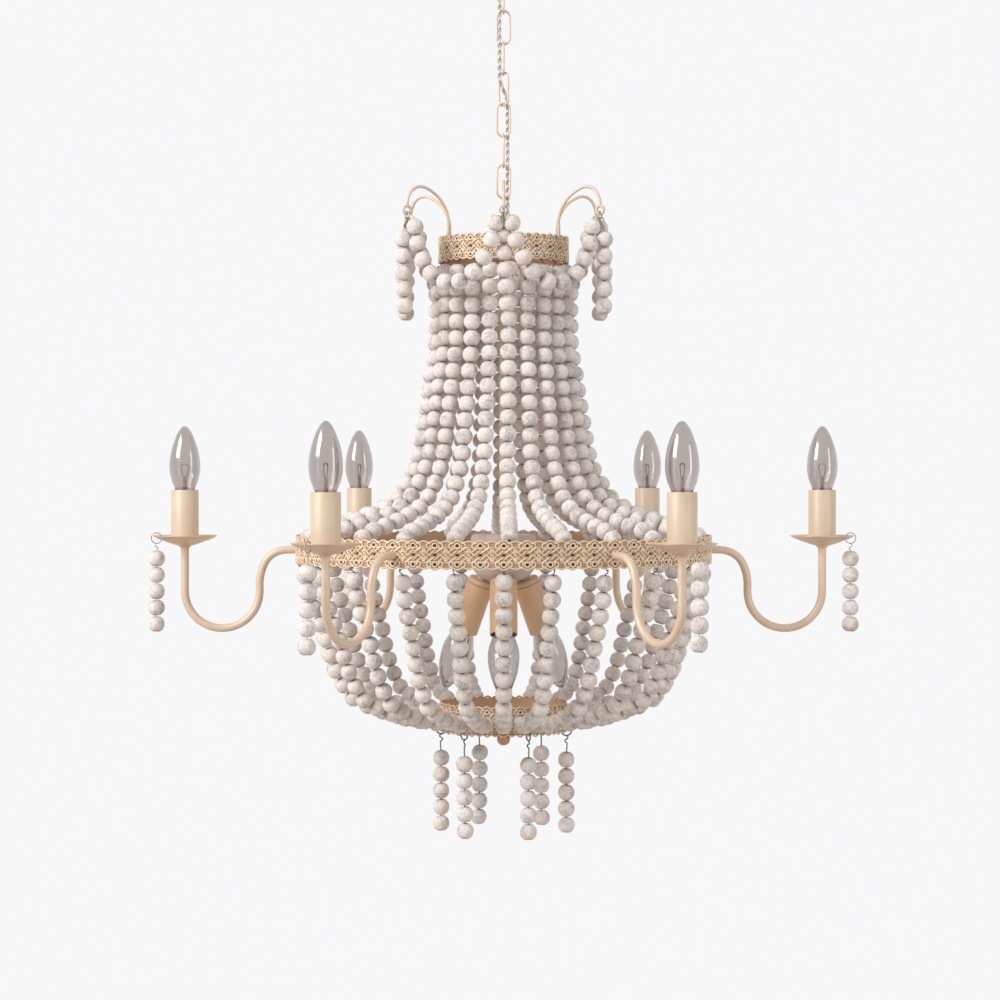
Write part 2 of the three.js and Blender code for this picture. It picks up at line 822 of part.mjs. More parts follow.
// Candle tube closed at its foot, with the lampholder in it. Its foot is at the origin.
function makeSleeve(name, parent) {
  const holderTop = sleeveLength - holderDepth;
  const inner = sleeveRadius - sleeveWall;
  const outline = [
    [0, 0],
    [sleeveRadius, 0],
    [sleeveRadius, -sleeveLength],
    [inner, -sleeveLength],
    [inner, -holderTop],
    [socketRadius, -holderTop],
    [socketRadius, -(holderTop - socketDepth)],
    [0, -(holderTop - socketDepth)],
  ];
  return piece(name, sleevePaint, turnedPiece(outline, candleSides), parent);
}

function makeBulb(name, parent) {
  const foot = sleeveLength - holderDepth - socketDepth + clearance;
  const capRadius = socketRadius - clearance;
  const outline = [
    [0, -foot],
    [capRadius, -foot],
    [capRadius, -(sleeveLength - holderDepth + clearance)],
  ];
  bulbShares.forEach(([out, up]) => {
    outline.push([out * bulbRadius, -(sleeveLength + up * bulbHeight)]);
  });
  return piece(name, glass, turnedPiece(outline, candleSides), parent);
}

// A wire ring with a string of beads under it. The ring's middle is at the origin.
function makeDrop(name, hang, parent) {
  const ring = wireRing(hookRingRadius, hookWireRadius, hookSteps, hookSides);
  const string = beadString(hang - hookRingRadius, dropBeads, dropBeadRadius, hookWireRadius);
  string.translate(0, 0, -hookRingRadius);
  return piece(name, wood, joined([ring, string]), parent);
}

function makeCandles() {
  for (let i = 0; i < candleArms; i++) {
    const number = i + 1;
    const group = turned((fullTurn * i) / candleArms);
    makeCandleArm("candle_arm_" + number, group);
    const lamp = new THREE.Group();
    lamp.position.set(armPanRadius, 0, -(panRimDrop + panFloorDepth - clearance));
    group.add(lamp);
    makeSleeve("candle_sleeve_" + number, lamp);
    makeBulb("candle_bulb_" + number, lamp);
    const fall = makeDrop("arm_drop_" + number, armDropHang, group);
    fall.position.set(armPanRadius + hookPanRadius, 0, -(panRimDrop + hookPanDepth));
  }
}

function makeHub() {
  const bore = stemRadius + clearance;
  const skin = hubShares.map(([out, down]) => [out * hubRadius, hubDrop + down * hubHeight]);
  const outline = [
    [bore, hubDrop],
    ...skin,
    [hubFloorRadius, hubDrop + hubHeight],
    [bore, hubDrop + hubHeight],
    [bore, hubDrop],
  ];
  const parts = [turnedPiece(outline, broadSides)];
  const lampAngles = [];
  for (let i = 0; i < innerLamps; i++) {
    lampAngles.push((fullTurn * (i + innerLampTurnShare)) / innerLamps);
  }
  const tilt = Math.PI - radians(innerLampTiltDegrees);
  lampAngles.forEach((angle) => {
    const nipple = new THREE.CylinderGeometry(nippleRadius, nippleRadius, nippleLength, tubeSides);
    nipple.rotateX(Math.PI / 2).translate(0, 0, -nippleLength / 2 - clearance);
    nipple.rotateY(tilt).translate(innerLampRadius, 0, -innerLampDrop);
    parts.push(nipple.rotateZ(angle));
  });
  piece("hub", paint, joined(parts));

  lampAngles.forEach((angle, i) => {
    const lamp = new THREE.Group();
    lamp.position.set(innerLampRadius, 0, -innerLampDrop);
    lamp.rotation.y = tilt;
    turned(angle).add(lamp);
    makeSleeve("inner_sleeve_" + (i + 1), lamp);
    makeBulb("inner_bulb_" + (i + 1), lamp);
  });
}

function makeBottomDrops() {
  for (let i = 0; i < bottomDrops; i++) {
    const group = turned(radians(bottomDropTurnDegrees) + (fullTurn * i) / bottomDrops);
    const fall = makeDrop("bottom_drop_" + (i + 1), bottomDropHang, group);
    fall.position.set(bottomRingRadius, 0, -bottomHookDrop);
  }
}

makeCeiling();
makeChain();
makeFlex();
makeStem();
makeCrown();
makeGarland();
makeBell();
makeMainRing();
makeHub();
makeCandles();
makeBasket();
makeBottomRing();
makeBottomDrops();

export default chandelier;
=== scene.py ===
from math import atan2, copysign, cos, hypot, pi, radians, sin

import bmesh
import bpy
from bpy.props import FloatProperty, FloatVectorProperty, IntProperty, PointerProperty
from mathutils import Matrix, Vector


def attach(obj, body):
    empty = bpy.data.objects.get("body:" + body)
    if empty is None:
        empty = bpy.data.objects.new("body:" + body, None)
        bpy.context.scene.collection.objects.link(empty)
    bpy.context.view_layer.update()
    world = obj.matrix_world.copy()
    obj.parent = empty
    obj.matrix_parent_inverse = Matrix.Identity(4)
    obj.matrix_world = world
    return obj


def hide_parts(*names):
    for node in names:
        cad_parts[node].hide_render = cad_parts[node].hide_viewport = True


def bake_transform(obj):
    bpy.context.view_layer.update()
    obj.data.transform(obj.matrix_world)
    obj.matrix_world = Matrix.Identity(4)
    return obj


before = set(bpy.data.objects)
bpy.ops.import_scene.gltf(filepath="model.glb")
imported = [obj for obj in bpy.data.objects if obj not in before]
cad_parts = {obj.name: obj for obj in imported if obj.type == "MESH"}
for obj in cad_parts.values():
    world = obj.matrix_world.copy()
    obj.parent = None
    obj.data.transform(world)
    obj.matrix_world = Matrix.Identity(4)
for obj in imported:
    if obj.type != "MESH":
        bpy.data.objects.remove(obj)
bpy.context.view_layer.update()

# Looks of the beaded chandelier: bell and basket of strung beads, pierced rings and candle arms.

bl_info = {
    "name": "Beaded Chandelier",
    "version": (1, 0, 0),
    "blender": (4, 5, 0),
    "location": "3D View > Sidebar > Chandelier",
    "description": "Dresses the solid model of a beaded chandelier with its beads, metal and glass",
    "category": "Object",
}

MM = 0.001
TURN = 2 * pi
PREFIX = "chandelier_"


def shade(red, green, blue):
    """Linear colour of a colour as it looks on a screen."""
    return tuple(c / 12.92 if c <= 0.04045 else ((c + 0.055) / 1.055) ** 2.4
                 for c in (red, green, blue))


# Sizes and colours that a user would change


class ChandelierSizes(bpy.types.PropertyGroup):
    bead_width: FloatProperty(
        name="Bead width", description="Width of a bead across its string",
        default=0.0193, min=0.004, unit="LENGTH")
    bead_length: FloatProperty(
        name="Bead length", description="Length of a bead along its string",
        default=0.0187, min=0.004, unit="LENGTH")
    bead_pitch: FloatProperty(
        name="Bead pitch", description="Distance from bead to bead along a string",
        default=0.0184, min=0.004, unit="LENGTH")
    strands: IntProperty(
        name="Strands", description="Bead strings round the bell and round the basket",
        default=24, min=3)
    cord_radius: FloatProperty(
        name="Filigree cord", description="Radius of the cords that cross on the pierced rings",
        default=0.00105, min=0.0003, unit="LENGTH")
    main_motifs: IntProperty(
        name="Main ring motifs", description="Repeats of the filigree round the main ring",
        default=60, min=6)
    small_motifs: IntProperty(
        name="Small ring motifs",
        description="Repeats of the filigree round the crown and bottom ring",
        default=24, min=6)


class ChandelierColours(bpy.types.PropertyGroup):
    cream: FloatVectorProperty(
        name="Cream", description="Satin paint of arms, pans and stem",
        default=shade(0.865, 0.765, 0.67), subtype="COLOR", min=0, max=1)
    tan: FloatVectorProperty(
        name="Tan", description="Colour in the recesses of the filigree",
        default=shade(0.76, 0.60, 0.45), subtype="COLOR", min=0, max=1)
    bead: FloatVectorProperty(
        name="Bead", description="Whitewash on the wooden beads",
        default=shade(0.945, 0.92, 0.90), subtype="COLOR", min=0, max=1)
    backdrop: FloatVectorProperty(
        name="Backdrop", description="Colour of the floor and of the background",
        default=shade(0.97, 0.97, 0.975), subtype="COLOR", min=0, max=1)


# Node trees written as calls and expressions


def maths(operation, back=False):
    """A method that adds a math node, with the value as its first number or as its last."""
    def method(self, *others):
        numbers = (*others, self) if back else (self, *others)
        return self.nodes.node("ShaderNodeMath", dict(enumerate(numbers)), operation=operation)
    return method


class Value:
    """An output socket that can stand in Python arithmetic."""

    __add__ = __radd__ = maths("ADD")
    __mul__ = __rmul__ = maths("MULTIPLY")
    __sub__, __rsub__ = maths("SUBTRACT"), maths("SUBTRACT", back=True)
    __truediv__ = maths("DIVIDE")
    sine, cosine, angle = maths("SINE"), maths("COSINE"), maths("ARCTAN2")
    size, part, root = maths("ABSOLUTE"), maths("FRACT"), maths("SQRT")
    above, least, power = maths("GREATER_THAN"), maths("MINIMUM"), maths("POWER")

    def __init__(self, nodes, node, socket):
        self.nodes, self.node, self.socket = nodes, node, socket

    def out(self, name):
        return Value(self.nodes, self.node, self.node.outputs[name])


class Nodes:
    """A node tree in which any node is one call: its type, its sockets, then its settings."""

    def __init__(self, tree):
        self.tree = tree

    def node(self, kind, values=None, output=0, **settings):
        made = self.tree.nodes.new(kind)
        for name, setting in settings.items():
            setattr(made, name, setting)
        for key, value in (values or {}).items():
            if isinstance(value, Value):
                self.tree.links.new(value.socket, made.inputs[key])
            else:
                made.inputs[key].default_value = value
        return Value(self, made, made.outputs[output] if made.outputs else None)

    def xyz(self, vector):
        parts = self.node("ShaderNodeSeparateXYZ", {0: vector})
        return [parts.out(axis) for axis in "XYZ"]

    def vector(self, x, y, z):
        return self.node("ShaderNodeCombineXYZ", {0: x, 1: y, 2: z})

    def seen(self, rays):
        """One for rays from the camera, also after a reflection or through glass."""
        return (rays.out("Is Camera Ray") + rays.out("Is Glossy Ray")
                + rays.out("Is Transmission Ray"))


class Finish(Nodes):
    """A surface finish: patterns in object space that feed one shader."""

    def __init__(self, name):
        material = bpy.data.materials.new(PREFIX + name)
        material.use_nodes = True
        super().__init__(material.node_tree)
        self.tree.nodes.clear()

    def place(self):
        return self.node("ShaderNodeTexCoord", output="Object")

    def noise(self, scale, detail, roughness):
        return self.node("ShaderNodeTexNoise", {
            "Vector": self.place(), "Scale": scale, "Detail": detail, "Roughness": roughness})

    def ramp(self, factor, *stops):
        made = self.node("ShaderNodeValToRGB", {0: factor})
        for element, (place, level) in zip(made.node.color_ramp.elements, stops):
            element.position = place
            element.color = (level, level, level, 1.0)
        return made

    def attribute(self, name):
        return self.node("ShaderNodeAttribute", output="Fac", attribute_name=name)

    def mix(self, factor, first, second):
        first, second = (c if isinstance(c, Value) else (*c, 1.0) for c in (first, second))
        return self.node("ShaderNodeMix", {0: factor, 6: first, 7: second}, 2, data_type="RGBA")

    def over(self, colour, tint, strength, pattern, *stops):
        """A colour with a tint over it, as strong as a pattern is between two levels."""
        return self.mix(self.ramp(pattern, *stops) * strength, colour, tint)

    def bump(self, height, strength, distance):
        return self.node("ShaderNodeBump", {
            "Strength": strength, "Distance": distance, "Height": height})

    def shader(self, colour, **sockets):
        values = {"Base Color": colour if isinstance(colour, Value) else (*colour, 1.0)}
        values.update({name.replace("_", " "): value for name, value in sockets.items()})
        return self.node("ShaderNodeBsdfPrincipled", values)

    def done(self, surface):
        self.node("ShaderNodeOutputMaterial", {0: surface})

    def coat(self, colour, **sockets):
        """Finish with one shader: its colour, then its other sockets by name."""
        self.done(self.shader(colour, **sockets))


class Recipe(Nodes):
    """A Geometry Nodes tree with named inputs, from guide lines to a finished mesh."""

    KINDS = {float: "NodeSocketFloat", int: "NodeSocketInt", str: "NodeSocketMaterial"}

    def __init__(self, name, **inputs):
        super().__init__(bpy.data.node_groups.new(name, "GeometryNodeTree"))
        face = self.tree.interface
        for way in ("INPUT", "OUTPUT"):
            face.new_socket("Geometry", in_out=way, socket_type="NodeSocketGeometry")
        for label, default in inputs.items():
            made = face.new_socket(label.replace("_", " "), in_out="INPUT",
                                   socket_type=self.KINDS[type(default)])
            if not isinstance(default, str):
                made.default_value = default
        self.given = self.node("NodeGroupInput")

    def __getitem__(self, name):
        return self.given.out(name)

    def stored(self, geometry, name, value, domain="POINT"):
        return self.node("GeometryNodeStoreNamedAttribute", {
            "Geometry": geometry, "Name": name, "Value": value}, data_type="FLOAT", domain=domain)

    def chance(self, low, high, seed):
        return self.node("FunctionNodeRandomValue", {2: low, 3: high, "Seed": seed}, 1,
                         data_type="FLOAT")

    def moved(self, geometry, place):
        return self.node("GeometryNodeSetPosition", {"Geometry": geometry, "Position": place})

    def painted(self, geometry, coat):
        smooth = self.node("GeometryNodeSetShadeSmooth", {"Geometry": geometry})
        return self.node("GeometryNodeSetMaterial", {"Geometry": smooth, "Material": coat})

    def swept(self, lines, radius, sides):
        curve = self.node("GeometryNodeMeshToCurve", {0: lines})
        ring = self.node("GeometryNodeCurvePrimitiveCircle", {
            "Resolution": sides, "Radius": radius})
        return self.node("GeometryNodeCurveToMesh", {
            "Curve": curve, "Profile Curve": ring, "Fill Caps": True})

    def done(self, *geometries):
        joined = self.node("GeometryNodeJoinGeometry")
        for geometry in geometries:
            self.tree.links.new(geometry.socket, joined.node.inputs[0])
        self.node("NodeGroupOutput", {0: self.node("GeometryNodeRealizeInstances", {0: joined})})


def wire_recipe():
    """Round wire of one gauge along every guide line."""
    made = Recipe("Wire", Radius=0.001, Sides=8, Finish="")
    wire = made.swept(made["Geometry"], made["Radius"], made["Sides"])
    made.done(made.painted(wire, made["Finish"]))


def bead_recipe():
    """Beads along the guide lines marked as strings, and wire along the lines marked as wire."""
    made = Recipe("Strung beads", Bead_width=0.019, Bead_length=0.018, Pitch=0.0184,
                  Wire_radius=0.0006, Wire_sides=6, Seed=1, Bead_finish="", Wire_finish="")
    marked = made.node("GeometryNodeInputNamedAttribute", {"Name": "wire"}, data_type="FLOAT")
    split = made.node("GeometryNodeSeparateGeometry", {
        "Geometry": made["Geometry"], "Selection": marked.above(0.5)})
    wire = made.painted(made.swept(split, made["Wire radius"], made["Wire sides"]),
                        made["Wire finish"])

    line = made.node("GeometryNodeMeshToCurve", {0: split.out("Inverted")})
    even = made.node("GeometryNodeResampleCurve", {
        "Curve": line, "Length": made["Pitch"]}, mode="LENGTH")
    places = made.node("GeometryNodeCurveToPoints", {"Curve": even}, mode="EVALUATED")

    ball = made.node("GeometryNodeMeshUVSphere", {"Segments": 12, "Rings": 7, "Radius": 0.5})
    x, y, z = made.xyz(made.node("GeometryNodeInputPosition"))
    end = z.size() * 2
    ball = made.stored(ball, "bead_end", end)
    wide = made["Bead width"] * (2 * (x * x + y * y).root() + 0.02).power(-0.06)
    tall = made["Bead length"] * (end + 0.02).power(-0.06) * (1 - 0.14 * end.above(0.99))
    ball = made.moved(ball, made.vector(x * wide, y * wide, z * tall))
    ball = made.painted(ball, made["Bead finish"])

    seed = made["Seed"]
    spun = made.node("FunctionNodeEulerToRotation", {
        0: made.vector(0, 0, made.chance(0.0, TURN, seed))})
    lean = made.vector(made.chance(-0.10, 0.10, seed + 1), made.chance(-0.10, 0.10, seed + 2), 0)
    along = made.node("ShaderNodeVectorMath", {0: places.out("Tangent"), 1: lean}, operation="ADD")
    turned = made.node("FunctionNodeAlignRotationToVector", {
        "Rotation": spun, "Factor": 1.0, "Vector": along}, axis="Z")
    beads = made.node("GeometryNodeInstanceOnPoints", {
        "Points": places, "Instance": ball, "Rotation": turned,
        "Scale": made.chance(0.975, 1.0, seed + 3)})
    beads = made.stored(beads, "bead_tone", made.chance(0.0, 1.0, seed + 4), "INSTANCE")
    made.done(beads, wire)


def filigree_recipe():
    """Crossing cords of one motif, repeated along a line and wrapped round a ring."""
    made = Recipe("Filigree", Motifs=24, Ring_radius=0.07, Middle=0.0, Cord_radius=0.001,
                  Cord_sides=5, Finish="")
    ring, motifs = made["Ring radius"], made["Motifs"]
    pitch = TURN * ring / motifs
    row = made.node("GeometryNodeMeshLine", {
        "Count": motifs, "Start Location": made.vector(0, 0, 0),
        "Offset": made.vector(pitch, 0, 0)})
    strip = made.node("GeometryNodeInstanceOnPoints", {
        "Points": row, "Instance": made["Geometry"]})
    strip = made.node("GeometryNodeRealizeInstances", {0: strip})
    strip = made.node("GeometryNodeMergeByDistance", {"Geometry": strip, "Distance": 0.00005})
    cords = made.swept(strip, made["Cord radius"], made["Cord sides"])
    x, y, z = made.xyz(made.node("GeometryNodeInputPosition"))
    cords = made.stored(cords, "relief", y)
    angle, reach = x / ring, ring + y
    cords = made.moved(cords, made.vector(
        reach * angle.cosine(), reach * angle.sine(), z + made["Middle"]))
    made.done(made.painted(cords, made["Finish"]))


def placed(name, data):
    """An object in the scene, at the origin."""
    made = bpy.data.objects.new(name, data)
    bpy.context.scene.collection.objects.link(made)
    return made


def plain_mesh(stand):
    """The finished mesh of a stand-in object, which goes."""
    done = stand.evaluated_get(bpy.context.evaluated_depsgraph_get())
    mesh = bpy.data.meshes.new_from_object(done)
    bpy.data.objects.remove(stand)
    return mesh


def grown(recipe, name, guide, **inputs):
    """The mesh that a recipe grows on a guide mesh, with inputs set by their identifiers."""
    stand = placed(name + "_guide", guide)
    modifier = stand.modifiers.new("Grow", "NODES")
    modifier.node_group = recipe
    sockets = {s.name.replace(" ", "_"): s.identifier for s in recipe.interface.items_tree
               if s.item_type == "SOCKET" and s.in_out == "INPUT"}
    for label, value in inputs.items():
        modifier[sockets[label]] = value
    mesh = plain_mesh(stand)
    bpy.data.meshes.remove(guide)
    if not mesh.polygons:
        raise RuntimeError(f"{name}: its recipe grew no faces")
    mesh.name = name
    return mesh


# Shapes made point by point. From here on lengths are in millimetres unless a comment says metres


def at(*places):
    return [Vector(place) for place in places]


def shift(x, y, z):
    return Matrix.Translation((x, y, z))


def spin(angle):
    return Matrix.Rotation(angle, 4, "Z")


def turns(count):
    return [TURN * k / count for k in range(count)]


def smooth_path(corners, step):
    """Points about one step apart on a smooth curve through the corners."""
    last = len(corners) - 1
    made = []
    for i in range(last):
        a, b, c, d = (corners[min(max(i + k, 0), last)] for k in (-1, 0, 1, 2))
        steps = max(1, round((c - b).length / step))
        for k in range(steps):
            t = k / steps
            made.append(0.5 * ((2 * b) + (c - a) * t + (2 * a - 5 * b + 4 * c - d) * t * t
                               + (3 * b - 3 * c + d - a) * t * t * t))
    return [*made, corners[-1].copy()]


def profile(pairs, step):
    """A smooth line in the XZ plane through pairs of radius and height."""
    return smooth_path([Vector((radius, 0, height)) for radius, height in pairs], step)


def trimmed(line, before, after):
    """The line without a length at its start and at its end."""
    for _ in range(2):
        cut = before
        while len(line) > 2 and (line[1] - line[0]).length <= cut:
            cut -= (line[1] - line[0]).length
            line = line[1:]
        line = [line[0].lerp(line[1], cut / (line[1] - line[0]).length), *line[1:]]
        line, before = line[::-1], after
    return line


def measure(line):
    return sum((b - a).length for a, b in zip(line, line[1:]))


def ring_line(radius, steps, place=Matrix()):
    """A closed round line in the XZ plane."""
    return [place @ Vector((radius * cos(a), 0, radius * sin(a))) for a in turns(steps)] + [None]


def carried(place, line):
    """A line moved by a matrix. A closing mark at its end stays."""
    return [None if point is None else place @ point for point in line]


def turned_to(angle, line):
    """A line swung round the vertical axis."""
    return carried(spin(angle), line)


def guide_mesh(name, strings, hooks=()):
    """Edges in metres along lines given in millimetres. A line that ends in None is closed."""
    points, edges, marks = [], [], []
    for mark, lines in ((0.0, strings), (1.0, hooks)):
        for line in lines:
            closed = line[-1] is None
            places = line[:-1] if closed else line
            start = len(points)
            points += [place * MM for place in places]
            edges += [(start + k, start + k + 1) for k in range(len(places) - 1)]
            if closed:
                edges.append((len(points) - 1, start))
            marks += [mark] * len(places)
    mesh = bpy.data.meshes.new(name)
    mesh.from_pydata(points, edges, [])
    mesh.attributes.new("wire", "FLOAT", "POINT").data.foreach_set("value", marks)
    return mesh


class Shape:
    """Faces that are added part by part, in millimetres, and become one mesh."""

    def __init__(self):
        self.points, self.faces = [], []

    def add(self, points, faces, place):
        start = len(self.points)
        self.points += [(place @ Vector(p)) * MM for p in points]
        self.faces += [[start + k for k in face] for face in faces]
        return self

    def turned(self, outline, sides, place=Matrix(), closed=False):
        """A shape turned about Z from pairs of radius and height. A closed outline makes a ring."""
        points, rows = [], []
        for radius, height in outline:
            if radius < 1e-6:
                rows.append([len(points)] * sides)
                points.append((0, 0, height))
                continue
            rows.append(list(range(len(points), len(points) + sides)))
            points += [(radius * cos(a), radius * sin(a), height) for a in turns(sides)]
        faces = []
        for i in range(len(rows) if closed else len(rows) - 1):
            a, b = rows[i], rows[(i + 1) % len(rows)]
            for k in range(sides):
                n = (k + 1) % sides
                corners = list(dict.fromkeys((a[k], a[n], b[n], b[k])))
                if len(corners) > 2:
                    faces.append(corners)
        return self.add(points, faces, place)

    def block(self, size, place, ease):
        """A block with eased edges along its length, which is X."""
        x, y, z = (s / 2 for s in size)
        section = [(y - ease, z), (y, z - ease), (y, ease - z), (y - ease, -z),
                   (ease - y, -z), (-y, ease - z), (-y, z - ease), (ease - y, z)]
        points = [(side * x, *pair) for side in (-1, 1) for pair in section]
        faces = [[k, (k + 1) % 8, 8 + (k + 1) % 8, 8 + k] for k in range(8)]
        faces += [list(range(8)), list(range(8, 16))]
        return self.add(points, faces, place)

    def mesh(self, name, coat, crease=35):
        made = bpy.data.meshes.new(name)
        made.from_pydata(self.points, [], self.faces)
        made.materials.append(finish(coat))
        return outward(made, crease)


def lathe(name, outline, sides, coat, place=Matrix(), closed=False, crease=35):
    """A mesh that is one turned shape."""
    return Shape().turned(outline, sides, place, closed).mesh(name, coat, crease)


def outward(mesh, crease):
    """Faces turned outwards, smooth but for edges sharper than the crease angle."""
    tidy = bmesh.new()
    tidy.from_mesh(mesh)
    bmesh.ops.recalc_face_normals(tidy, faces=tidy.faces)
    tidy.to_mesh(mesh)
    tidy.free()
    mesh.shade_smooth()
    mesh.set_sharp_from_angle(angle=radians(crease))
    return mesh


def eased(outline, ease):
    """An outline with every corner but the ends cut back twice, as a turned edge is."""
    made = [outline[0]]
    for corners in zip(outline, outline[1:], outline[2:]):
        a, b, c = at(*corners)
        back = b + (a - b).normalized() * min(ease, (a - b).length * 0.4)
        on = b + (c - b).normalized() * min(ease, (c - b).length * 0.4)
        made += [tuple(back), tuple((back + on) / 4 + b / 2), tuple(on)]
    return made + [outline[-1]]


def together(name, *meshes):
    """One mesh of several, with their materials kept."""
    parts = [placed(name, mesh) for mesh in meshes]
    with bpy.context.temp_override(active_object=parts[0], object=parts[0],
                                   selected_objects=parts, selected_editable_objects=parts):
        bpy.ops.object.join()
    made = parts[0].data
    bpy.data.objects.remove(parts[0])
    made.name = name
    return made


def piece(name, mesh, body, nodes):
    """A finished piece at the origin, on its body, in place of the solids that it stands for."""
    made = placed(name, mesh)
    if body:
        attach(made, body)
    if nodes:
        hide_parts(*nodes)
    return made


# Finishes


def paint_finish(name, colour, worn, roughness=0.40, metallic=0.15):
    """Satin paint with a faint glaze that gathers in patches."""
    made = Finish(name)
    patches = made.ramp(made.noise(38, 4, 0.6), (0.38, 0.0), (0.66, 1.0))
    fine = made.noise(520, 3, 0.6)
    colour = made.mix(patches * 0.38, colour, worn)
    colour = made.mix(fine * 0.22, colour, shade(0.97, 0.93, 0.87))
    made.coat(colour, Metallic=metallic, Roughness=roughness + 0.14 * fine,
              Coat_Weight=0.18, Coat_Roughness=0.25, Normal=made.bump(fine, 0.12, 0.0004))


def filigree_finish(name, crest, recess):
    """Cream on the crests of the cords and tan in the recesses between them: an antique glaze
    together with painted shade in the recesses.
    """
    made = Finish(name)
    height = made.attribute("relief")
    fine = made.noise(600, 3, 0.6)
    # Antique glaze and painted shade: the lower a part of a cord lies, the more tan it turns.
    lifted = made.ramp(height * 520 + 0.30 * fine + 0.08, (0.02, 0.0), (0.56, 1.0))
    colour = made.mix(lifted, recess, crest)
    colour = made.over(colour, shade(0.87, 0.74, 0.60), 0.30,
                       made.noise(30, 3, 0.6), (0.40, 0.0), (0.70, 1.0))
    made.coat(colour, Metallic=0.12, Roughness=0.46, Normal=made.bump(fine, 0.2, 0.0003))


def pierced_finish(name, motifs, radius, middle, half):
    """Tan behind the filigree, an antique glaze that also stands for painted shade in the recess
    behind the cords, with painted shade as the dark of the small holes between its motifs.
    """
    painted_hole_width = 2.1
    made = Finish(name)
    x, y, z = made.xyz(made.place())
    turn = y.angle(x) * (motifs / TURN) + 0.5
    across = (turn.part() - 0.5) * (TURN * radius / motifs / painted_hole_width)
    up = ((z - middle * MM) / (half * MM)).size()
    near = up.least((up - 0.62).size()) * (half / painted_hole_width)
    # Painted shade: dark spots where small holes between the motifs would show the shade behind the
    # band.
    painted_hole_shade = made.ramp(across * across + near * near, (0.45, 1.0), (0.95, 0.0))
    patches = made.noise(110, 3, 0.6)
    # The backing's tan: antique glaze, and painted shade of the recess behind the cords.
    colour = made.mix(patches, shade(0.80, 0.655, 0.50), shade(0.72, 0.57, 0.42))
    colour = made.mix(painted_hole_shade, colour, shade(0.20, 0.13, 0.09))
    made.coat(colour, Metallic=0.1, Roughness=0.5 + 0.2 * patches)


def bead_finish(name, wash):
    """Whitewashed wood: tone from bead to bead, mottling, grey speckled patches, painted shade
    towards the ends where the beads meet, and a painted dark spot in each drilled hole.
    """
    made = Finish(name)
    tone, end = made.attribute("bead_tone"), made.attribute("bead_end")
    colour = made.mix(tone, shade(0.92, 0.88, 0.855), wash)
    mottle = made.noise(330, 5, 0.68)
    colour = made.over(colour, shade(0.77, 0.71, 0.67), 0.52, mottle, (0.36, 1.0), (0.56, 0.0))
    colour = made.over(colour, shade(0.97, 0.95, 0.94), 0.6, mottle, (0.52, 0.0), (0.70, 1.0))
    patch = made.ramp(made.noise(70, 2, 0.5), (0.52, 0.0), (0.64, 1.0))
    speck = made.ramp(made.noise(900, 2, 0.6), (0.44, 1.0), (0.58, 0.0))
    colour = made.mix(patch * speck * 0.75, colour, shade(0.60, 0.59, 0.58))
    # Painted shade: each bead darkens towards its ends, where it meets the next bead.
    colour = made.over(colour, shade(0.60, 0.53, 0.48), 0.30, end, (0.64, 0.0), (0.92, 1.0))
    # Painted shade: a dark spot at each end stands for the shade inside the drilled hole.
    painted_hole_shade = made.ramp(end, (0.955, 0.0), (0.98, 1.0))
    colour = made.mix(painted_hole_shade, colour, shade(0.25, 0.19, 0.16))
    made.coat(colour, Roughness=0.80, Normal=made.bump(mottle, 0.35, 0.0006))


def wire_finish(name, colour):
    made = Finish(name)
    dull = made.noise(300, 3, 0.6)
    shaded = made.mix(dull, colour, shade(0.42, 0.38, 0.35))
    made.coat(shaded, Metallic=0.85, Roughness=0.3 + 0.25 * dull)


def copper_finish():
    made = Finish("copper")
    patches = made.noise(160, 4, 0.6)
    colour = made.mix(patches, shade(0.81, 0.58, 0.45), shade(0.70, 0.51, 0.41))
    made.coat(colour, Metallic=0.7, Roughness=0.36 + 0.15 * patches, Coat_Weight=0.1)


def flex_finish():
    """Clear skin over silvery strands."""
    made = Finish("flex_skin")
    strand = made.noise(1400, 2, 0.5)
    colour = made.mix(strand, shade(0.66, 0.63, 0.60), shade(0.90, 0.88, 0.85))
    made.coat(colour, Metallic=0.35, Roughness=0.32, Coat_Weight=0.6, Coat_Roughness=0.08,
              Normal=made.bump(strand, 0.25, 0.0003))


def glass_finish():
    """Thin clear glass with a faint grey haze."""
    made = Finish("bulb_glass")
    haze = made.noise(60, 2, 0.5)
    made.coat(shade(0.838, 0.812, 0.796), Roughness=0.03 + 0.03 * haze, IOR=1.46,
              Transmission_Weight=1.0, Coat_Weight=0.8, Coat_Roughness=0.16)


def stage_finish(backdrop):
    """Pale floor with the object's shadow, that fades into the backdrop, clear from below."""
    made = Finish("pale_floor")
    x, y, z = made.xyz(made.place())
    away = (x * x + y * y).root()
    grain = made.noise(3, 2, 0.5)
    lit = made.shader(made.mix(grain * 0.2, shade(0.76, 0.72, 0.68), shade(0.70, 0.66, 0.62)),
                      Roughness=0.9)
    flat = made.node("ShaderNodeEmission", {"Color": (*backdrop, 1.0), "Strength": 1.0})
    rays = made.node("ShaderNodeLightPath")
    seen = made.seen(rays)
    fade = made.ramp(away / 9, (0.02, 0.80), (0.30, 1.0))
    top = made.node("ShaderNodeMixShader", {0: seen * fade, 1: lit, 2: flat})
    below = made.node("ShaderNodeNewGeometry").out("Backfacing") * rays.out("Is Camera Ray")
    clear = made.node("ShaderNodeBsdfTransparent")
    made.done(made.node("ShaderNodeMixShader", {0: below, 1: top, 2: clear}))


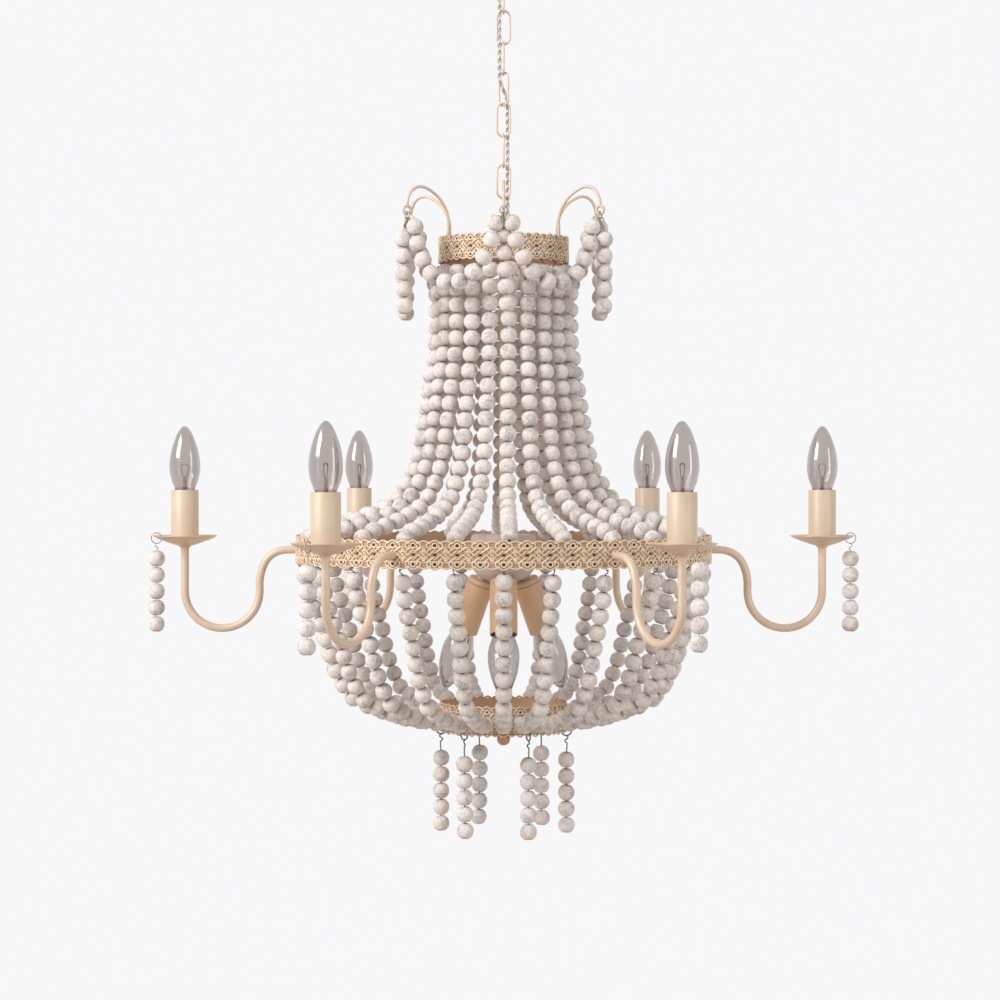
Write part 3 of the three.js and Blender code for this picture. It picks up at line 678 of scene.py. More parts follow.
def store():
    """Finishes and recipes, made once and kept by name."""
    if PREFIX + "cream_paint" in bpy.data.materials:
        return
    tones = bpy.context.scene.chandelier_colours
    cream, tan, bead = tuple(tones.cream), tuple(tones.tan), tuple(tones.bead)
    paint_finish("cream_paint", cream, shade(0.80, 0.64, 0.50))
    paint_finish("sleeve_paint", shade(0.84, 0.755, 0.65), shade(0.78, 0.66, 0.53), 0.42, 0.05)
    paint_finish("pan_paint", shade(0.87, 0.735, 0.60), shade(0.76, 0.59, 0.45), 0.42, 0.12)
    # The inner lamps' paint is the sleeve paint made more golden: a painted warm reflection and
    # shade from the parts round them.
    paint_finish("inner_paint", shade(0.88, 0.72, 0.55), shade(0.82, 0.64, 0.46), 0.42, 0.05)
    paint_finish("chain_paint", shade(0.88, 0.78, 0.67), shade(0.74, 0.60, 0.47), 0.32, 0.30)
    paint_finish("tan_metal", shade(0.72, 0.55, 0.42), tan, 0.5, 0.15)
    filigree_finish("filigree", shade(0.97, 0.915, 0.82), tan)
    bead_finish("whitewashed_bead", bead)
    paint_finish("plaster", shade(0.84, 0.77, 0.73), shade(0.72, 0.63, 0.58), 0.7, 0.0)
    wire_finish("dark_wire", shade(0.50, 0.46, 0.42))
    wire_finish("silver_wire", shade(0.86, 0.83, 0.79))
    wire_finish("brass_cap", shade(0.80, 0.66, 0.42))
    wire_finish("filament", shade(0.40, 0.33, 0.28))
    copper_finish()
    flex_finish()
    glass_finish()
    wire_recipe()
    bead_recipe()
    filigree_recipe()


def finish(name):
    store()
    return bpy.data.materials[PREFIX + name]


def kept_recipe(name):
    store()
    return bpy.data.node_groups[name]


def wires(name, lines, radius, coat, sides):
    return grown(kept_recipe("Wire"), name, guide_mesh(name, lines),
                 Radius=radius * MM, Sides=sides, Finish=finish(coat))


def strung(name, strings, hooks, seed, wire=0.6, coat="dark_wire", pitch=None):
    sizes = bpy.context.scene.chandelier_sizes
    return grown(kept_recipe("Strung beads"), name, guide_mesh(name, strings, hooks),
                 Bead_width=sizes.bead_width, Bead_length=sizes.bead_length,
                 Pitch=pitch or sizes.bead_pitch, Wire_radius=wire * MM, Seed=seed,
                 Bead_finish=finish("whitewashed_bead"), Wire_finish=finish(coat))


# Pieces of the ceiling fitting, chain and flex

# The camera: focal length, place in metres, and degrees that it looks down
LENS, CAMERA_PLACE, CAMERA_DIP = 93.46, (-0.004, -2.92, -0.612), 0.662
# The links: degrees from facing the viewer, and depth of the middle
LINK_FACINGS = (90, 0, 90, 135, 0, 90, 0)
LINK_DROPS = tuple(81.05 + 34.5 * k for k in range(7))
LINK_WIDTH, LINK_LENGTH, LINK_WIRE, LINK_STEPS = 17, 39.8, 1.25, 40
CHAIN = ("ceiling", *(f"link_{k}" for k in range(1, 8)), "fixture")
HINGE_DROPS = (65.7, 99.7, 134.2, 168.7, 203.2, 237.7, 272.2, 306.7)
# Distance from the axis, the same along X and along Y, and height
FLEX_ROUTE = (
    (-9, -8), (-9, -20), (-8.9, -32), (-6.6, -44), (-4.8, -56), (-4.6, -72), (-4.6, -96),
    (-4.6, -122), (-4.6, -148), (-4.6, -166), (-4.3, -174), (-2.4, -180), (0, -185.2),
    (2.4, -190.4), (4.3, -196.4), (4.6, -204.4), (4.6, -226), (4.6, -252), (4.6, -278),
    (4.6, -304), (4.6, -324), (4.6, -340))
FLEX_TOP, FLEX_FOOT, FLEX_OVERLAP, FLEX_STEP = 8.0, 340.0, 0.7, 1.2
# Radius of each of the flex's two cores, and height of one turn of their twist
CORE_RADIUS, CORE_TWIST = 1.2, 17.0
ROSE_RADIUS, ROSE_WALL, ROSE_SIDES = 60, 1.5, 72


class MakeCamera(bpy.types.Operator):
    """Make the camera at the photograph's viewing angle"""

    bl_idname = "chandelier.camera"
    bl_label = "Camera"

    def execute(self, context):
        lens = bpy.data.cameras.new("camera")
        lens.lens, lens.sensor_width, lens.sensor_fit = LENS, 36.0, "HORIZONTAL"
        lens.clip_end = 60
        camera = placed("camera", lens)
        camera.location = CAMERA_PLACE
        camera.rotation_euler = (radians(90 - CAMERA_DIP), 0, 0)
        context.scene.camera = camera
        return {"FINISHED"}


class MakeFlex(bpy.types.Operator):
    """Make the twisted flex, in one stretch across each chain joint"""

    bl_idname = "chandelier.flex"
    bl_label = "Twisted flex"

    def execute(self, context):
        route = smooth_path([Vector((off, off, z)) for off, z in FLEX_ROUTE], FLEX_STEP)
        middles = [(a + b) / 2 for a, b in zip(HINGE_DROPS, HINGE_DROPS[1:])]
        ends = [FLEX_TOP, *middles, FLEX_FOOT]
        for k, drop in enumerate(HINGE_DROPS):
            low, high = -ends[k + 1] - FLEX_OVERLAP, -ends[k] + FLEX_OVERLAP
            stretch = [p for p in route if low <= p.z <= high]
            cores = []
            for side in (0, pi):
                angles = [TURN * p.z / CORE_TWIST + side for p in stretch]
                cores.append([p + CORE_RADIUS * Vector((cos(a), sin(a), 0))
                              for p, a in zip(stretch, angles)])
            name = f"flex_stretch_{k + 1}"
            mesh = wires(name, cores, CORE_RADIUS, "flex_skin", 7)
            made = piece(name, mesh, None, ["flex"])
            CHAIN[k + 1]
            CHAIN[k]
            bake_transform(made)
            tuple(stretch[0] * MM)
            measure(stretch) * MM
            [tuple(p * MM) for p in stretch]
        return {"FINISHED"}


class MakeCeiling(bpy.types.Operator):
    """Make the ceiling rose, its bracket and the loop that carries the chain"""

    bl_idname = "chandelier.ceiling"
    bl_label = "Ceiling rose and hanger"

    def execute(self, context):
        outer = profile(((ROSE_RADIUS, -1), (59.2, -5), (57, -10.4), (50.5, -16.5),
                         (40.8, -20.9), (29.5, -24.6), (18, -27.4), (5.4, -29)), 3)
        skin = [(ROSE_RADIUS, -0.1)] + [(p.x, p.z) for p in outer]
        inner = [(max(p.x - ROSE_WALL, 5.3), min(p.z + ROSE_WALL, -0.1)) for p in outer[::-1]]
        shell = Shape().turned(skin + inner, ROSE_SIDES, closed=True)
        bead = [(ROSE_RADIUS + 0.9 * cos(a) - 0.8, -3 + 1.4 * sin(a)) for a in turns(10)]
        shell.turned(bead, ROSE_SIDES, closed=True)
        piece("ceiling_rose_shell", shell.mesh("ceiling_rose_shell", "cream_paint"),
              "ceiling", ["ceiling_rose"])

        outline = eased([(0, -2.6), (5, -2.6), (5, -29.3), (9, -29.3), (9, -34.3), (5, -34.3),
                         (5, -39.5), (0, -39.5)], 0.7)
        neck = lathe("neck", outline, 40, "cream_paint")
        bracket = self.bracket()
        loop = wires("ceiling_loop", [ring_line(13.2, 48, shift(0, 0, -52.5))],
                     1.75, "cream_paint", 12)
        mesh = together("hanger", neck, bracket, loop)
        piece("hanger", mesh, "ceiling", ["ceiling_hanger"])
        return {"FINISHED"}

    def bracket(self):
        """A bevelled plate with round corners and two screw holes, under the ceiling."""
        plate = bpy.data.curves.new("bracket", "CURVE")
        plate.dimensions, plate.fill_mode = "2D", "BOTH"
        corner, middle, hole_radius, bevel = 3.0, -1.5 * MM, 3.0, 0.4
        plate.extrude, plate.bevel_depth, plate.bevel_resolution = 1.1 * MM, bevel * MM, 2
        edge = []
        for x, y, start in ((46, 10, 0), (-46, 10, 1), (-46, -10, 2), (46, -10, 3)):
            cx, cy = x - copysign(corner, x), y - copysign(corner, y)
            for k in range(5):
                a = (start + k / 4) * pi / 2
                edge.append((cx + (corner - bevel) * cos(a), cy + (corner - bevel) * sin(a)))
        backing_coat_with_painted_holes = [[(c + hole_radius * cos(a), hole_radius * sin(a)) for a in turns(20)]
                 for c in (-36, 36)]
        for outline in (edge, *backing_coat_with_painted_holes):
            spline = plate.splines.new("POLY")
            spline.points.add(len(outline) - 1)
            for point, (x, y) in zip(spline.points, outline):
                point.co = (x * MM, y * MM, middle, 1)
            spline.use_cyclic_u = True
        bracket = plain_mesh(placed("bracket", plate))
        heights = [v.co.z for v in bracket.vertices]
        bracket.transform(shift(0, 0, middle - sum(heights) / len(heights)))
        bracket.materials.clear()
        bracket.materials.append(finish("chain_paint"))
        return outward(bracket, 35)


class MakeChain(bpy.types.Operator):
    """Make the seven chain links"""

    bl_idname = "chandelier.chain"
    bl_label = "Chain"

    def execute(self, context):
        bend, straight = LINK_WIDTH / 2 - LINK_WIRE, LINK_LENGTH / 2 - LINK_WIDTH / 2
        for k, (facing, drop) in enumerate(zip(LINK_FACINGS, LINK_DROPS), 1):
            line = []
            for step in range(LINK_STEPS):
                a = TURN * (step + 0.5) / LINK_STEPS
                up = copysign(straight, sin(a))
                line.append(Vector((bend * cos(a), 0, bend * sin(a) + up - drop)))
            name = f"link_{k}_wire"
            line = turned_to(radians(facing), line + [None])
            mesh = wires(name, [line], LINK_WIRE, "chain_paint", 10)
            piece(name, mesh, f"link_{k}", [f"chain_link_{k}"])
        return {"FINISHED"}


class MakeStem(bpy.types.Operator):
    """Make the stem down the middle with its loop, bell, knop and nut"""

    bl_idname = "chandelier.stem"
    bl_label = "Stem"

    def execute(self, context):
        outline = [
            (0, -329.7), (7.5, -329.7), (10.2, -331.6), (11, -336), (11, -341), (9.5, -343.6),
            (5, -345), (5, -378.3), (8, -378.3), (8, -382.3), (5, -382.3), (5, -640),
            (7.2, -642.5), (8, -647), (7.2, -651.5), (5, -654), (5, -734.3), (9, -734.3),
            (9, -738.3), (4.5, -739.5), (0, -739.5)]
        stem = lathe("stem", eased(outline, 0.6), 36, "cream_paint")
        loop = turned_to(TURN / 4, ring_line(12.5, 48, shift(0, 0, -316.15)))
        loop = wires("stem_loop", [loop], 1.5, "cream_paint", 12)
        piece("stem_turning", together("stem_turning", stem, loop), "fixture", ["stem"])
        return {"FINISHED"}


# Pierced rings

ARMS = 6
EYE_REACH = 122.5
# Rings: radius, depth of the top edge, height
CROWN_RING, MAIN_RING, BOTTOM_RING = (73, 350, 31), (233, 684, 33), (71, 871, 36)
BACKING_SHARE = 0.41
MOTIF_SINK, RAISED = -0.7, 0.35


def motif_lines(pitch, height):
    """One repeat of the filigree: cords that cross round its holes, rings, scallops and curls."""
    half, sink, raised = height / 2, MOTIF_SINK, MOTIF_SINK + RAISED
    lines = []

    def cord(place, steps, closed=False):
        line = [Vector(place(k / steps)) for k in range(steps + (not closed))]
        lines.append(line + [None] if closed else line)

    for side in (-1, 1):
        cord(lambda t: (t * pitch, sink + 0.55 * side * sin(TURN * t),
                        side * half * (0.13 + 0.40 * abs(sin(pi * t)) ** 1.3)), 14)
        cord(lambda t: (t * pitch,
                        sink + side * (0.35 * sin(pi * t) - 0.55 * sin(TURN * t) ** 2),
                        side * half * 0.50 * cos(pi * t)), 14)
        cord(lambda t: (t * pitch, sink - 0.30 * side * sin(TURN * t),
                        side * half * 0.16 * (1 + cos(2 * TURN * t))), 16)
        cord(lambda t: (t * pitch, sink + 0.2, side * half * (
            0.80 + 0.18 * abs(cos(pi * t)) ** 6 + 0.14 * abs(sin(pi * t)) ** 6)), 16)
        for across, up, size in ((0.0, 0.62, 0.12), (0.5, 0.30, 0.07)):
            cord(lambda t: ((across + size * cos(TURN * t)) * pitch, raised,
                            side * half * up + size * pitch * sin(TURN * t)), 8, True)
        for hand in (-1, 1):
            def curl(t):
                angle = (0.15 + 0.95 * t) * TURN
                reach = (0.14 - 0.075 * t) * pitch
                return ((0.5 + hand * 0.25) * pitch + hand * reach * cos(angle),
                        raised, side * (half * 0.60 + reach * sin(angle)))
            cord(curl, 9)
    return lines


def pierced_band(name, radius, top, height, motifs):
    """A tan backing band with the filigree's cords round it."""
    recipe = kept_recipe("Filigree")
    cord_radius = bpy.context.scene.chandelier_sizes.cord_radius
    cord = cord_radius / MM
    middle = -(top + height / 2)
    pitch = TURN * radius / motifs
    guide = guide_mesh(name, motif_lines(pitch, height - 2 * cord))
    cords = grown(recipe, name, guide, Motifs=motifs, Ring_radius=radius * MM,
                  Middle=middle * MM, Cord_radius=cord_radius, Finish=finish("filigree"))
    low, high = middle - height * BACKING_SHARE, middle + height * BACKING_SHARE
    # The backing's finish carries painted shade for the small holes and for the recess behind the
    # cords.
    backing_coat_with_painted_holes = name + "_recess"
    pierced_finish(backing_coat_with_painted_holes, motifs, radius, middle, height / 2 - cord)
    bands = []
    for inner, outer, coat in ((2.9, 1.6, "tan_metal"), (1.55, 0.8, backing_coat_with_painted_holes)):
        near, far = radius - inner, radius - outer
        outline = ((near, low), (far, low), (far, high), (near, high))
        bands.append(lathe("backing", outline, 3 * motifs, coat, closed=True, crease=60))
    return together(name, *bands, cords)


class MakeCrown(bpy.types.Operator):
    """Make the crown: pierced ring, spider bars and the six curled arms"""

    bl_idname = "chandelier.crown"
    bl_label = "Crown"

    def execute(self, context):
        motifs = context.scene.chandelier_sizes.small_motifs
        band = pierced_band("crown_band", *CROWN_RING, motifs)
        arms = []
        bend = profile(((71, -362), (70.9, -350), (70.8, -334), (75, -321), (85.6, -308),
                        (102.7, -299.4), (115.5, -303), (121.9, -314), (122.6, -321.4)), 3)
        eye = ring_line(4.5, 20, shift(EYE_REACH, 0, -325.9))
        spider = Shape().turned(eased([(5.3, -372), (9, -372), (9, -378), (5.3, -378)], 0.5),
                                36, closed=True)
        for k in range(ARMS):
            angle = TURN * (k + 0.5) / ARMS
            arms += [turned_to(angle, bend), turned_to(angle, eye)]
            spider.block((62, 6, 6), spin(angle) @ shift(39.5, 0, -375), 0.8)
        mesh = together("crown_metal", spider.mesh("spider", "tan_metal"),
                        wires("crown_arms", arms, 1.75, "cream_paint", 8), band)
        piece("crown_metal", mesh, "fixture", ["crown"])
        return {"FINISHED"}


class MakeMainRing(bpy.types.Operator):
    """Make the pierced main ring"""

    bl_idname = "chandelier.main_ring"
    bl_label = "Main ring"

    def execute(self, context):
        motifs = context.scene.chandelier_sizes.main_motifs
        mesh = pierced_band("main_band", *MAIN_RING, motifs)
        piece("main_band", mesh, "fixture", ["main_ring"])
        return {"FINISHED"}


class MakeBottomRing(bpy.types.Operator):
    """Make the pierced bottom ring with its bar, and the ball finial"""

    bl_idname = "chandelier.bottom_ring"
    bl_label = "Bottom ring and finial"

    def execute(self, context):
        motifs = context.scene.chandelier_sizes.small_motifs
        band = pierced_band("bottom_band", *BOTTOM_RING, motifs)
        bar = Shape().block((139, 8, 3), shift(0, 0, -901.5), 0.6)
        mesh = together("bottom_band", bar.mesh("bar", "tan_metal"), band)
        piece("bottom_band", mesh, "fixture", ["bottom_ring"])
        ball = [(7.5 * sin(a), -914.8 + 7.4 * cos(a)) for a in
                [pi * (0.12 + 0.88 * k / 16) for k in range(17)]]
        ball[-1] = (0, ball[-1][1])
        outline = [(0, -903.3), (2.5, -903.3), (2.5, -906.2), (4.2, -906.6), (4.2, -907.6), *ball]
        copper = lathe("finial_ball", outline, 32, "copper")
        piece("finial_ball", copper, "fixture", ["finial"])
        return {"FINISHED"}


# Beads

BELL = (
    (75.5, -391), (76, -466), (81, -501), (85, -529), (91, -565), (98, -602), (110, -627),
    (123, -645), (143, -658), (170, -668), (196, -675), (211, -678.8), (218, -683), (219.8, -690))
BELL_TOP, BELL_FOOT = -391, -690
BASKET = (
    (224.5, -727.5), (219, -752), (209, -782), (201, -802), (196, -820), (189, -838),
    (180, -854), (170, -866.5), (153, -875), (137, -881), (122, -886), (106, -889.6),
    (83.5, -891))
# Places on a swag: share of the way between two eyes, and share of the full sag
SWAG = ((0.083, 0.0), (0.122, 0.30), (0.195, 0.59), (0.285, 0.84), (0.428, 1.0))
SWAG_BULGE, SWAG_DROP, SWAG_SAG = 6, 10, 62
TIP_HEIGHT = -335.4
# Angle of the viewer's side
FRONT = TURN * 0.75
# Length cut off a string, in parts that differ at its two ends
SHORTFALL = 3.6
BEADS_FALL = 73.7
# Eyes that strings hang from: distance from the axis, and height
PAN_EYE, RING_EYE = (390.4, -688.6), (71, -904)


def unevenness(k, reach):
    """A small shift that differs from string to string, the same in every run."""
    return reach * (0.5 + 0.5 * sin(2.4 * k * k + 1.7 * k))


def small_hook(line, wall):
    """A bent wire from inside a ring's lower edge to the first bead of a string."""
    angle, foot = atan2(line[0].y, line[0].x), hypot(line[0].x, line[0].y)
    height = line[0].z
    return turned_to(angle, profile((
        (wall - 4.4, height + 17), (wall - 1.2, height + 13), (wall + 1.0, height + 14.5),
        (wall + 0.2, height + 11), (foot + 1.4, height + 9.4), (foot, height + 4)), 1.5))


def bead_layer(kind, strings, wall, seed, spacing):
    """Strings round the fixture on small hooks, each with a whole number of beads."""
    hooks = [small_hook(string, wall) for string in strings]
    span = measure(strings[0])
    mesh = strung(f"{kind}_beads", strings, hooks, seed,
                  pitch=(span - 0.3) * MM / round(span / spacing))
    nodes = [f"{kind}_strands_{k}" for k in (1, 2, 3)]
    piece(f"{kind}_beads", mesh, "fixture", nodes)


class MakeBell(bpy.types.Operator):
    """Make the bell of bead strings from the crown down to the main ring"""

    bl_idname = "chandelier.bell"
    bl_label = "Bell of beads"

    def execute(self, context):
        line = profile(BELL, 3)
        strings = []
        for k, angle in enumerate(turns(context.scene.chandelier_sizes.strands)):
            behind = 1 + sin(angle)
            late = unevenness(k, SHORTFALL) + 2.5 * behind
            spread = radians(3.5 - 1.25 * behind) + 0.055 * sin(angle - FRONT)
            string = []
            for place in trimmed(line, late, SHORTFALL + 5 - late):
                share = (place.z - BELL_FOOT) / (BELL_TOP - BELL_FOOT)
                string += turned_to(angle + radians(1.5) + spread * share, [place])
            strings.append(string)
        bead_layer("bell", strings, 72.5, 11, 18.5)
        return {"FINISHED"}


class MakeBasket(bpy.types.Operator):
    """Make the basket of bead strings from the main ring in to the bottom ring"""

    bl_idname = "chandelier.basket"
    bl_label = "Basket of beads"

    def execute(self, context):
        line = profile(BASKET, 3)
        strings = []
        for k, angle in enumerate(turns(context.scene.chandelier_sizes.strands)):
            late = unevenness(k, SHORTFALL)
            angle -= 0.036 * sin(4 * (angle - FRONT))
            strings.append(turned_to(angle, trimmed(line, late, SHORTFALL - late)))
        bead_layer("basket", strings, 230, 23, 18.2)
        return {"FINISHED"}


class MakeGarland(bpy.types.Operator):
    """Make the swags and straight drops that hang from the crown's arms"""

    bl_idname = "chandelier.garland"
    bl_label = "Crown garland"

    def execute(self, context):
        strings, hooks = [], []
        tip = Vector((EYE_REACH, 0, TIP_HEIGHT))
        shares = [*SWAG, *((1 - along, sag) for along, sag in SWAG[::-1])]
        for k in range(ARMS):
            angle, onward = TURN * (k + 0.5) / ARMS, TURN * (k + 1.5) / ARMS
            start, end = spin(angle) @ tip, spin(onward) @ tip
            places = []
            for along, sag in shares:
                place = start.lerp(end, along)
                place += Vector((place.x, place.y, 0)).normalized() * SWAG_BULGE * sag
                place.z -= SWAG_DROP + SWAG_SAG * sag
                places.append(place)
            for i, place in enumerate(places):
                before, after = places[max(i - 1, 0)], places[min(i + 1, len(places) - 1)]
                on = (after - before).normalized() * 0.02
                strings.append([place - on, place + on])
            hooks.append([start, *smooth_path(places, 6), end])
            swing = unevenness(k, 7) - 3
            out = 110 if k == 4 else 128
            fall = at((out, 0, -358.4), (out, 0.4 * swing, -395.2), (out, swing, -432.1))
            strings.append(turned_to(angle, fall))
            kink = at(*((EYE_REACH + (out - EYE_REACH) * share, 0, height) for share, height in
                        ((0, TIP_HEIGHT), (0.3, -340), (0.8, -343), (0.9, -348), (1.0, -352))))
            hooks.append(turned_to(angle, smooth_path(kink + fall, 4)))
            for size, turn, drop in ((4.2, 0.25, 332.0), (4.6, 0.07, 338.6), (3.0, 0.43, 343.5)):
                ring = turned_to(TURN * turn, ring_line(size, 16))
                hooks.append(turned_to(angle, carried(shift(EYE_REACH, 0, -drop), ring)))
        mesh = strung("garland_beads", strings, hooks, 37, 0.75, "silver_wire")
        piece("garland_beads", mesh, "fixture", ["crown_garland"])
        return {"FINISHED"}


def hanging_string(name, body, node, radius, height, angle, hang, seed, coat, gauge):
    """A ring, a kinked hook and five beads under it, on a body of its own."""
    ring = ring_line(6, 18, shift(radius, 0, height))
    lean = unevenness(seed, 3.0) - 1.5
    first = height - hang
    beads = at((radius, 0, first), (radius, 0.3 * lean, first - 36.8),
               (radius, lean, first - BEADS_FALL))
    kink = smooth_path(at((radius, 0, height - 6), (radius + 1.9, 0.6, height - 8.5),
                          (radius - 1.7, -0.6, height - 11.5),
                          (radius + 0.9, 0.4, height - 14.5)), 1.2)
    hooks = [turned_to(angle, ring), turned_to(angle, kink + beads)]
    mesh = strung(name, [turned_to(angle, beads)], hooks, seed, gauge, coat)
    piece(name, mesh, body, [node])


class MakeDrops(bpy.types.Operator):
    """Make the strings that hang from the pans and from the bottom ring"""

    bl_idname = "chandelier.drops"
    bl_label = "Hanging drops"

    def execute(self, context):
        for k, angle in enumerate(turns(ARMS), 1):
            hanging_string(f"side_string_{k}", f"side_drop_{k}", f"arm_drop_{k}", *PAN_EYE,
                           angle, 23 + 3 * (k % 3 > 1), 40 + k, "silver_wire", 0.55)
            hanging_string(f"low_string_{k}", f"low_drop_{k}", f"bottom_drop_{k}", *RING_EYE,
                           angle - radians(7.5), 33, 50 + k, "dark_wire", 0.85)
        return {"FINISHED"}


# Arms, lamps and hub

ARM = ((37, -702), (70, -702), (140, -702), (200, -702), (235, -701.5), (252, -703),
       (264.5, -710.5), (271.5, -723), (274.4, -737), (274.4, -748.3))
PAN = ((0, -11.6), (7, -11.2), (12, -9.8), (17.5, -8.0), (22, -6.3), (26.4, -4.8), (31, -2.9),
       (34.6, -1.0), (35.9, 0), (35.8, 0.6), (34.9, 0.6), (33.4, -0.4), (29, -2.2), (23, -4.5),
       (17.4, -6.6), (16, -7.8), (10, -8), (0, -8))
COLLAR = ((4.4, -13.8), (5.2, -13.4), (6.4, -12.0), (7.4, -11.1), (4.4, -10.7))
GLASS = ((7.2, -8), (7.5, -4), (11.0, 0.4), (13.6, 6.5), (15.6, 12), (16.9, 18), (17.45, 24),
         (17.3, 31), (16.3, 39.3), (14.4, 47.8), (11.6, 55.8), (8.3, 63.6), (5.6, 68),
         (3.0, 70.9), (1.2, 71.7), (0, 71.8))
GLASS_WALL = 0.7
TUBE = ((14.9, 0), (15.4, 0.5), (15.4, 59.4), (15.0, 60), (14.2, 60), (13.9, 59.5), (13.9, 46),
        (7.4, 46), (7.4, 20), (0, 20))
CAP = ((0, 20.4), (3, 20.4), (4, 22.5), (6.6, 24),
       *(((6.9, 6.5)[k % 2], 26 + 1.5 * k) for k in range(9)), (7.0, 51), (0, 51))
POST = ((0, 50), (5.2, 50), (4.4, 55), (2.8, 60), (1.8, 66), (2.2, 72), (1.6, 75), (0, 75.5))
LAMP_REACH, LAMP_FOOT, PAN_HEIGHT = 358.4, -696.7, -686
BEND_MIDDLE, BEND_WIDTH, BEND_DEPTH = (316.4, -748.3), 42, 41.6
# By kind of lamp: height of the tube's foot, rise of the lamp, paint, and name of its body
LAMPS = {"candle": (2.8, 2.5, "sleeve_paint", "bulb"),
         "inner": (0.0, -2.5, "inner_paint", "inner_lamp")}


def lamp_places():
    """Kinds, numbers and places of the lamps: six upright, and three that lean from the hub."""
    lamps = [("candle", k, spin(angle) @ shift(LAMP_REACH, 0, LAMP_FOOT))
             for k, angle in enumerate(turns(ARMS), 1)]
    lean = Matrix.Rotation(pi - radians(22), 4, "Y")
    for k in range(1, 4):
        lamps.append(("inner", k, spin(TURN * (k - 0.75) / 3) @ shift(30, 0, -741) @ lean))
    return lamps


class MakeArms(bpy.types.Operator):
    """Make the six candle arms with their drip pans"""

    bl_idname = "chandelier.arms"
    bl_label = "Candle arms"

    def execute(self, context):
        across, height = BEND_MIDDLE
        bend = [(across + BEND_WIDTH * cos(a), height - BEND_DEPTH * sin(a)) for a in
                [pi * (1 - k / 12) for k in range(1, 13)]]
        line = profile((*ARM, *bend, (LAMP_REACH, -725), (LAMP_REACH, -697.8)), 4)
        for k, angle in enumerate(turns(ARMS), 1):
            name = f"arm_{k}_metal"
            tube = wires(name, [turned_to(angle, line)], 4.5, "cream_paint", 14)
            place = spin(angle) @ shift(LAMP_REACH, 0, PAN_HEIGHT)
            pan = Shape().turned(PAN, 48, place).turned(COLLAR, 28, place, closed=True)
            mesh = together(name, pan.mesh("pan", "pan_paint"), tube)
            piece(name, mesh, "fixture", [f"candle_arm_{k}"])
        return {"FINISHED"}


class MakeLamps(bpy.types.Operator):
    """Make the candle tubes with their lampholders, and the bulbs"""

    bl_idname = "chandelier.lamps"
    bl_label = "Candle tubes and bulbs"

    def execute(self, context):
        skin = [(max(p.x, 0.0), p.z) for p in profile(GLASS, 2)]
        inner = [(max(r - GLASS_WALL, 0.0), z - (GLASS_WALL if z > 60 else 0))
                 for r, z in skin[::-1]]
        envelope = skin[:-1] + [(0, 71.8), (0, 71.0)] + [p for p in inner if p[0] > 0.01]
        legs = [at((side * 1.0, 0, 72), (side * 2.6, 0, 77), (side * 4.0, 0, 86))
                for side in (-1, 1)]
        coil = [Vector((4.0 * cos(a * 0.5), 0.9 * sin(6 * a), 86 + 3 * sin(a * 0.5)))
                for a in [TURN * s / 48 for s in range(49)]]
        for kind, k, place in lamp_places():
            foot, rise, coat, body = LAMPS[kind]
            name, body = f"{kind}_{k}", f"{body}_{k}"
            outline = [(0, foot), *((r, max(z + rise * (z > 1), foot)) for r, z in TUBE)]
            tube = lathe(name + "_tube", outline, 40, coat, place)
            piece(name + "_tube", tube, "fixture", [f"{kind}_sleeve_{k}"])
            place = place @ shift(0, 0, rise)
            glass = lathe(name + "_glass", envelope, 32, "bulb_glass",
                          place @ shift(0, 0, 60), closed=True, crease=60)
            piece(name + "_glass", glass, body, [f"{kind}_bulb_{k}"])
            brass = lathe("cap", CAP, 28, "brass_cap", place)
            mount = lathe("mount", POST, 16, "plaster", place)
            lines = [carried(place, line) for line in (*legs, coil)]
            inside = wires("inside", lines, 0.35, "filament", 5)
            piece(name + "_core", together(name + "_core", brass, mount, inside),
                  body, ())
        return {"FINISHED"}


class MakeHub(bpy.types.Operator):
    """Make the hub's cup in the middle of the main ring"""

    bl_idname = "chandelier.hub"
    bl_label = "Hub"

    def execute(self, context):
        cup = profile(((34.5, -684.2), (36.6, -688), (37, -696), (37, -712), (36.2, -718),
                       (34.4, -723.5), (30.5, -729), (25, -733), (18, -736.2), (10, -737.8)), 2.5)
        outline = [(5.3, -684), *((p.x, p.z) for p in cup), (9.4, -737.9), (9.4, -733.9),
                   (5.3, -733.9)]
        shape, caps = Shape().turned(outline, 56, closed=True), Shape()
        for kind, _, place in lamp_places():
            if kind == "inner":
                shape.turned([(0, -28), (6, -28), (6, -6), (0, -6)], 20, place)
                caps.turned(eased([(0, -6.2), (13.6, -6.2), (15, -4.6), (15, -0.4), (0, -0.4)],
                                  0.5), 36, place)
        mesh = together("hub_cup", shape.mesh("hub_cup", "plaster"),
                        caps.mesh("caps", "inner_paint"))
        piece("hub_cup", mesh, "fixture", ["hub"])
        return {"FINISHED"}


FLOOR_REACH, FLOOR_DEPTH, SKY = 9000, 1900, 0.61
# Lamps of the studio: name, place in metres, width, height, watts
STUDIO = (("key", (-2.7, -1.9, 1.0), 1.8, 1.8, 99), ("fill", (2.5, -1.8, -0.3), 0.6, 2.2, 17))


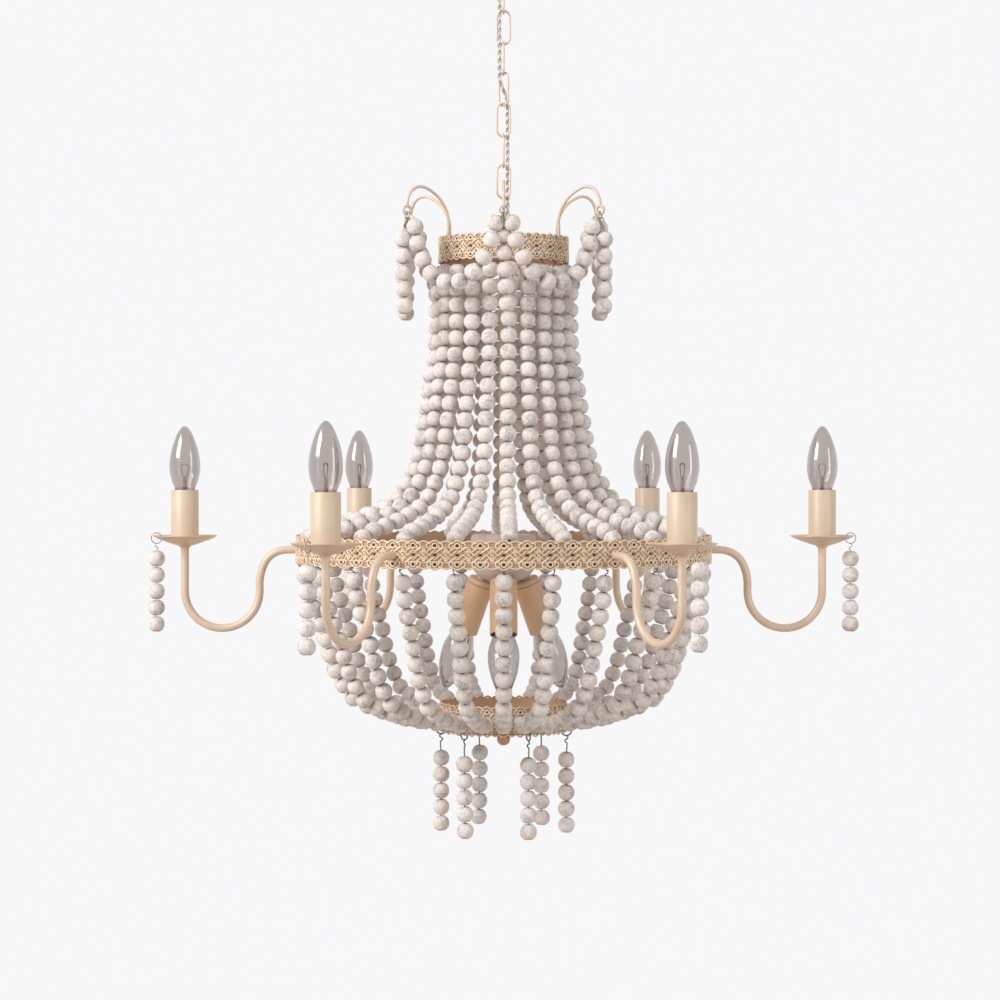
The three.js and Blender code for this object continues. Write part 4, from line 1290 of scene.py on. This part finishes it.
class MakeStage(bpy.types.Operator):
    """Make the pale floor, the backdrop's light and the lamps of the studio"""

    bl_idname = "chandelier.stage"
    bl_label = "Floor and light"

    def execute(self, context):
        backdrop = tuple(context.scene.chandelier_colours.backdrop)
        stage_finish(backdrop)
        floor = lathe("floor", [(FLOOR_REACH, -FLOOR_DEPTH), (0, -FLOOR_DEPTH)], 96, "pale_floor")
        if floor.polygons[0].normal.z < 0:
            floor.flip_normals()
        placed("floor", floor)

        world = context.scene.world or bpy.data.worlds.new("studio")
        context.scene.world = world
        world.use_nodes = True
        sky = Nodes(world.node_tree)
        world.node_tree.nodes.clear()
        seen = sky.seen(sky.node("ShaderNodeLightPath"))
        soft = sky.node("ShaderNodeBackground", {"Color": (1, 1, 1, 1), "Strength": SKY})
        plain = sky.node("ShaderNodeBackground", {"Color": (*backdrop, 1), "Strength": 1.0})
        mixed = sky.node("ShaderNodeMixShader", {0: seen, 1: soft, 2: plain})
        sky.node("ShaderNodeOutputWorld", {0: mixed})

        for name, place, wide, tall, power in STUDIO:
            lamp = bpy.data.lights.new(name, "AREA")
            lamp.shape, lamp.size, lamp.size_y, lamp.energy = "RECTANGLE", wide, tall, power
            stand = placed(name, lamp)
            stand.location = place
            aim = Vector((0, 0, -0.6)) - Vector(place)
            stand.rotation_euler = aim.to_track_quat("-Z", "Y").to_euler()
        context.scene.view_settings.view_transform = "Standard"
        return {"FINISHED"}


STEPS = (MakeCamera, MakeFlex, MakeCeiling, MakeChain, MakeStem, MakeCrown, MakeGarland, MakeBell,
         MakeMainRing, MakeHub, MakeArms, MakeLamps, MakeBasket, MakeBottomRing, MakeDrops,
         MakeStage)


class ChandelierPanel(bpy.types.Panel):
    bl_idname = "VIEW3D_PT_chandelier"
    bl_label = "Beaded Chandelier"
    bl_space_type = "VIEW_3D"
    bl_region_type = "UI"
    bl_category = "Chandelier"

    def draw(self, context):
        for group in (context.scene.chandelier_sizes, context.scene.chandelier_colours):
            for name in group.__annotations__:
                self.layout.prop(group, name)
        for step in STEPS:
            self.layout.operator(step.bl_idname)


CLASSES = (ChandelierSizes, ChandelierColours, *STEPS, ChandelierPanel)


def register():
    for each in CLASSES:
        bpy.utils.register_class(each)
    bpy.types.Scene.chandelier_sizes = PointerProperty(type=ChandelierSizes)
    bpy.types.Scene.chandelier_colours = PointerProperty(type=ChandelierColours)


def unregister():
    del bpy.types.Scene.chandelier_colours
    del bpy.types.Scene.chandelier_sizes
    for each in reversed(CLASSES):
        bpy.utils.unregister_class(each)


def main():
    register()
    for step in STEPS:
        group, name = step.bl_idname.split(".")
        getattr(getattr(bpy.ops, group), name)()


if __name__ == "__main__":
    main()
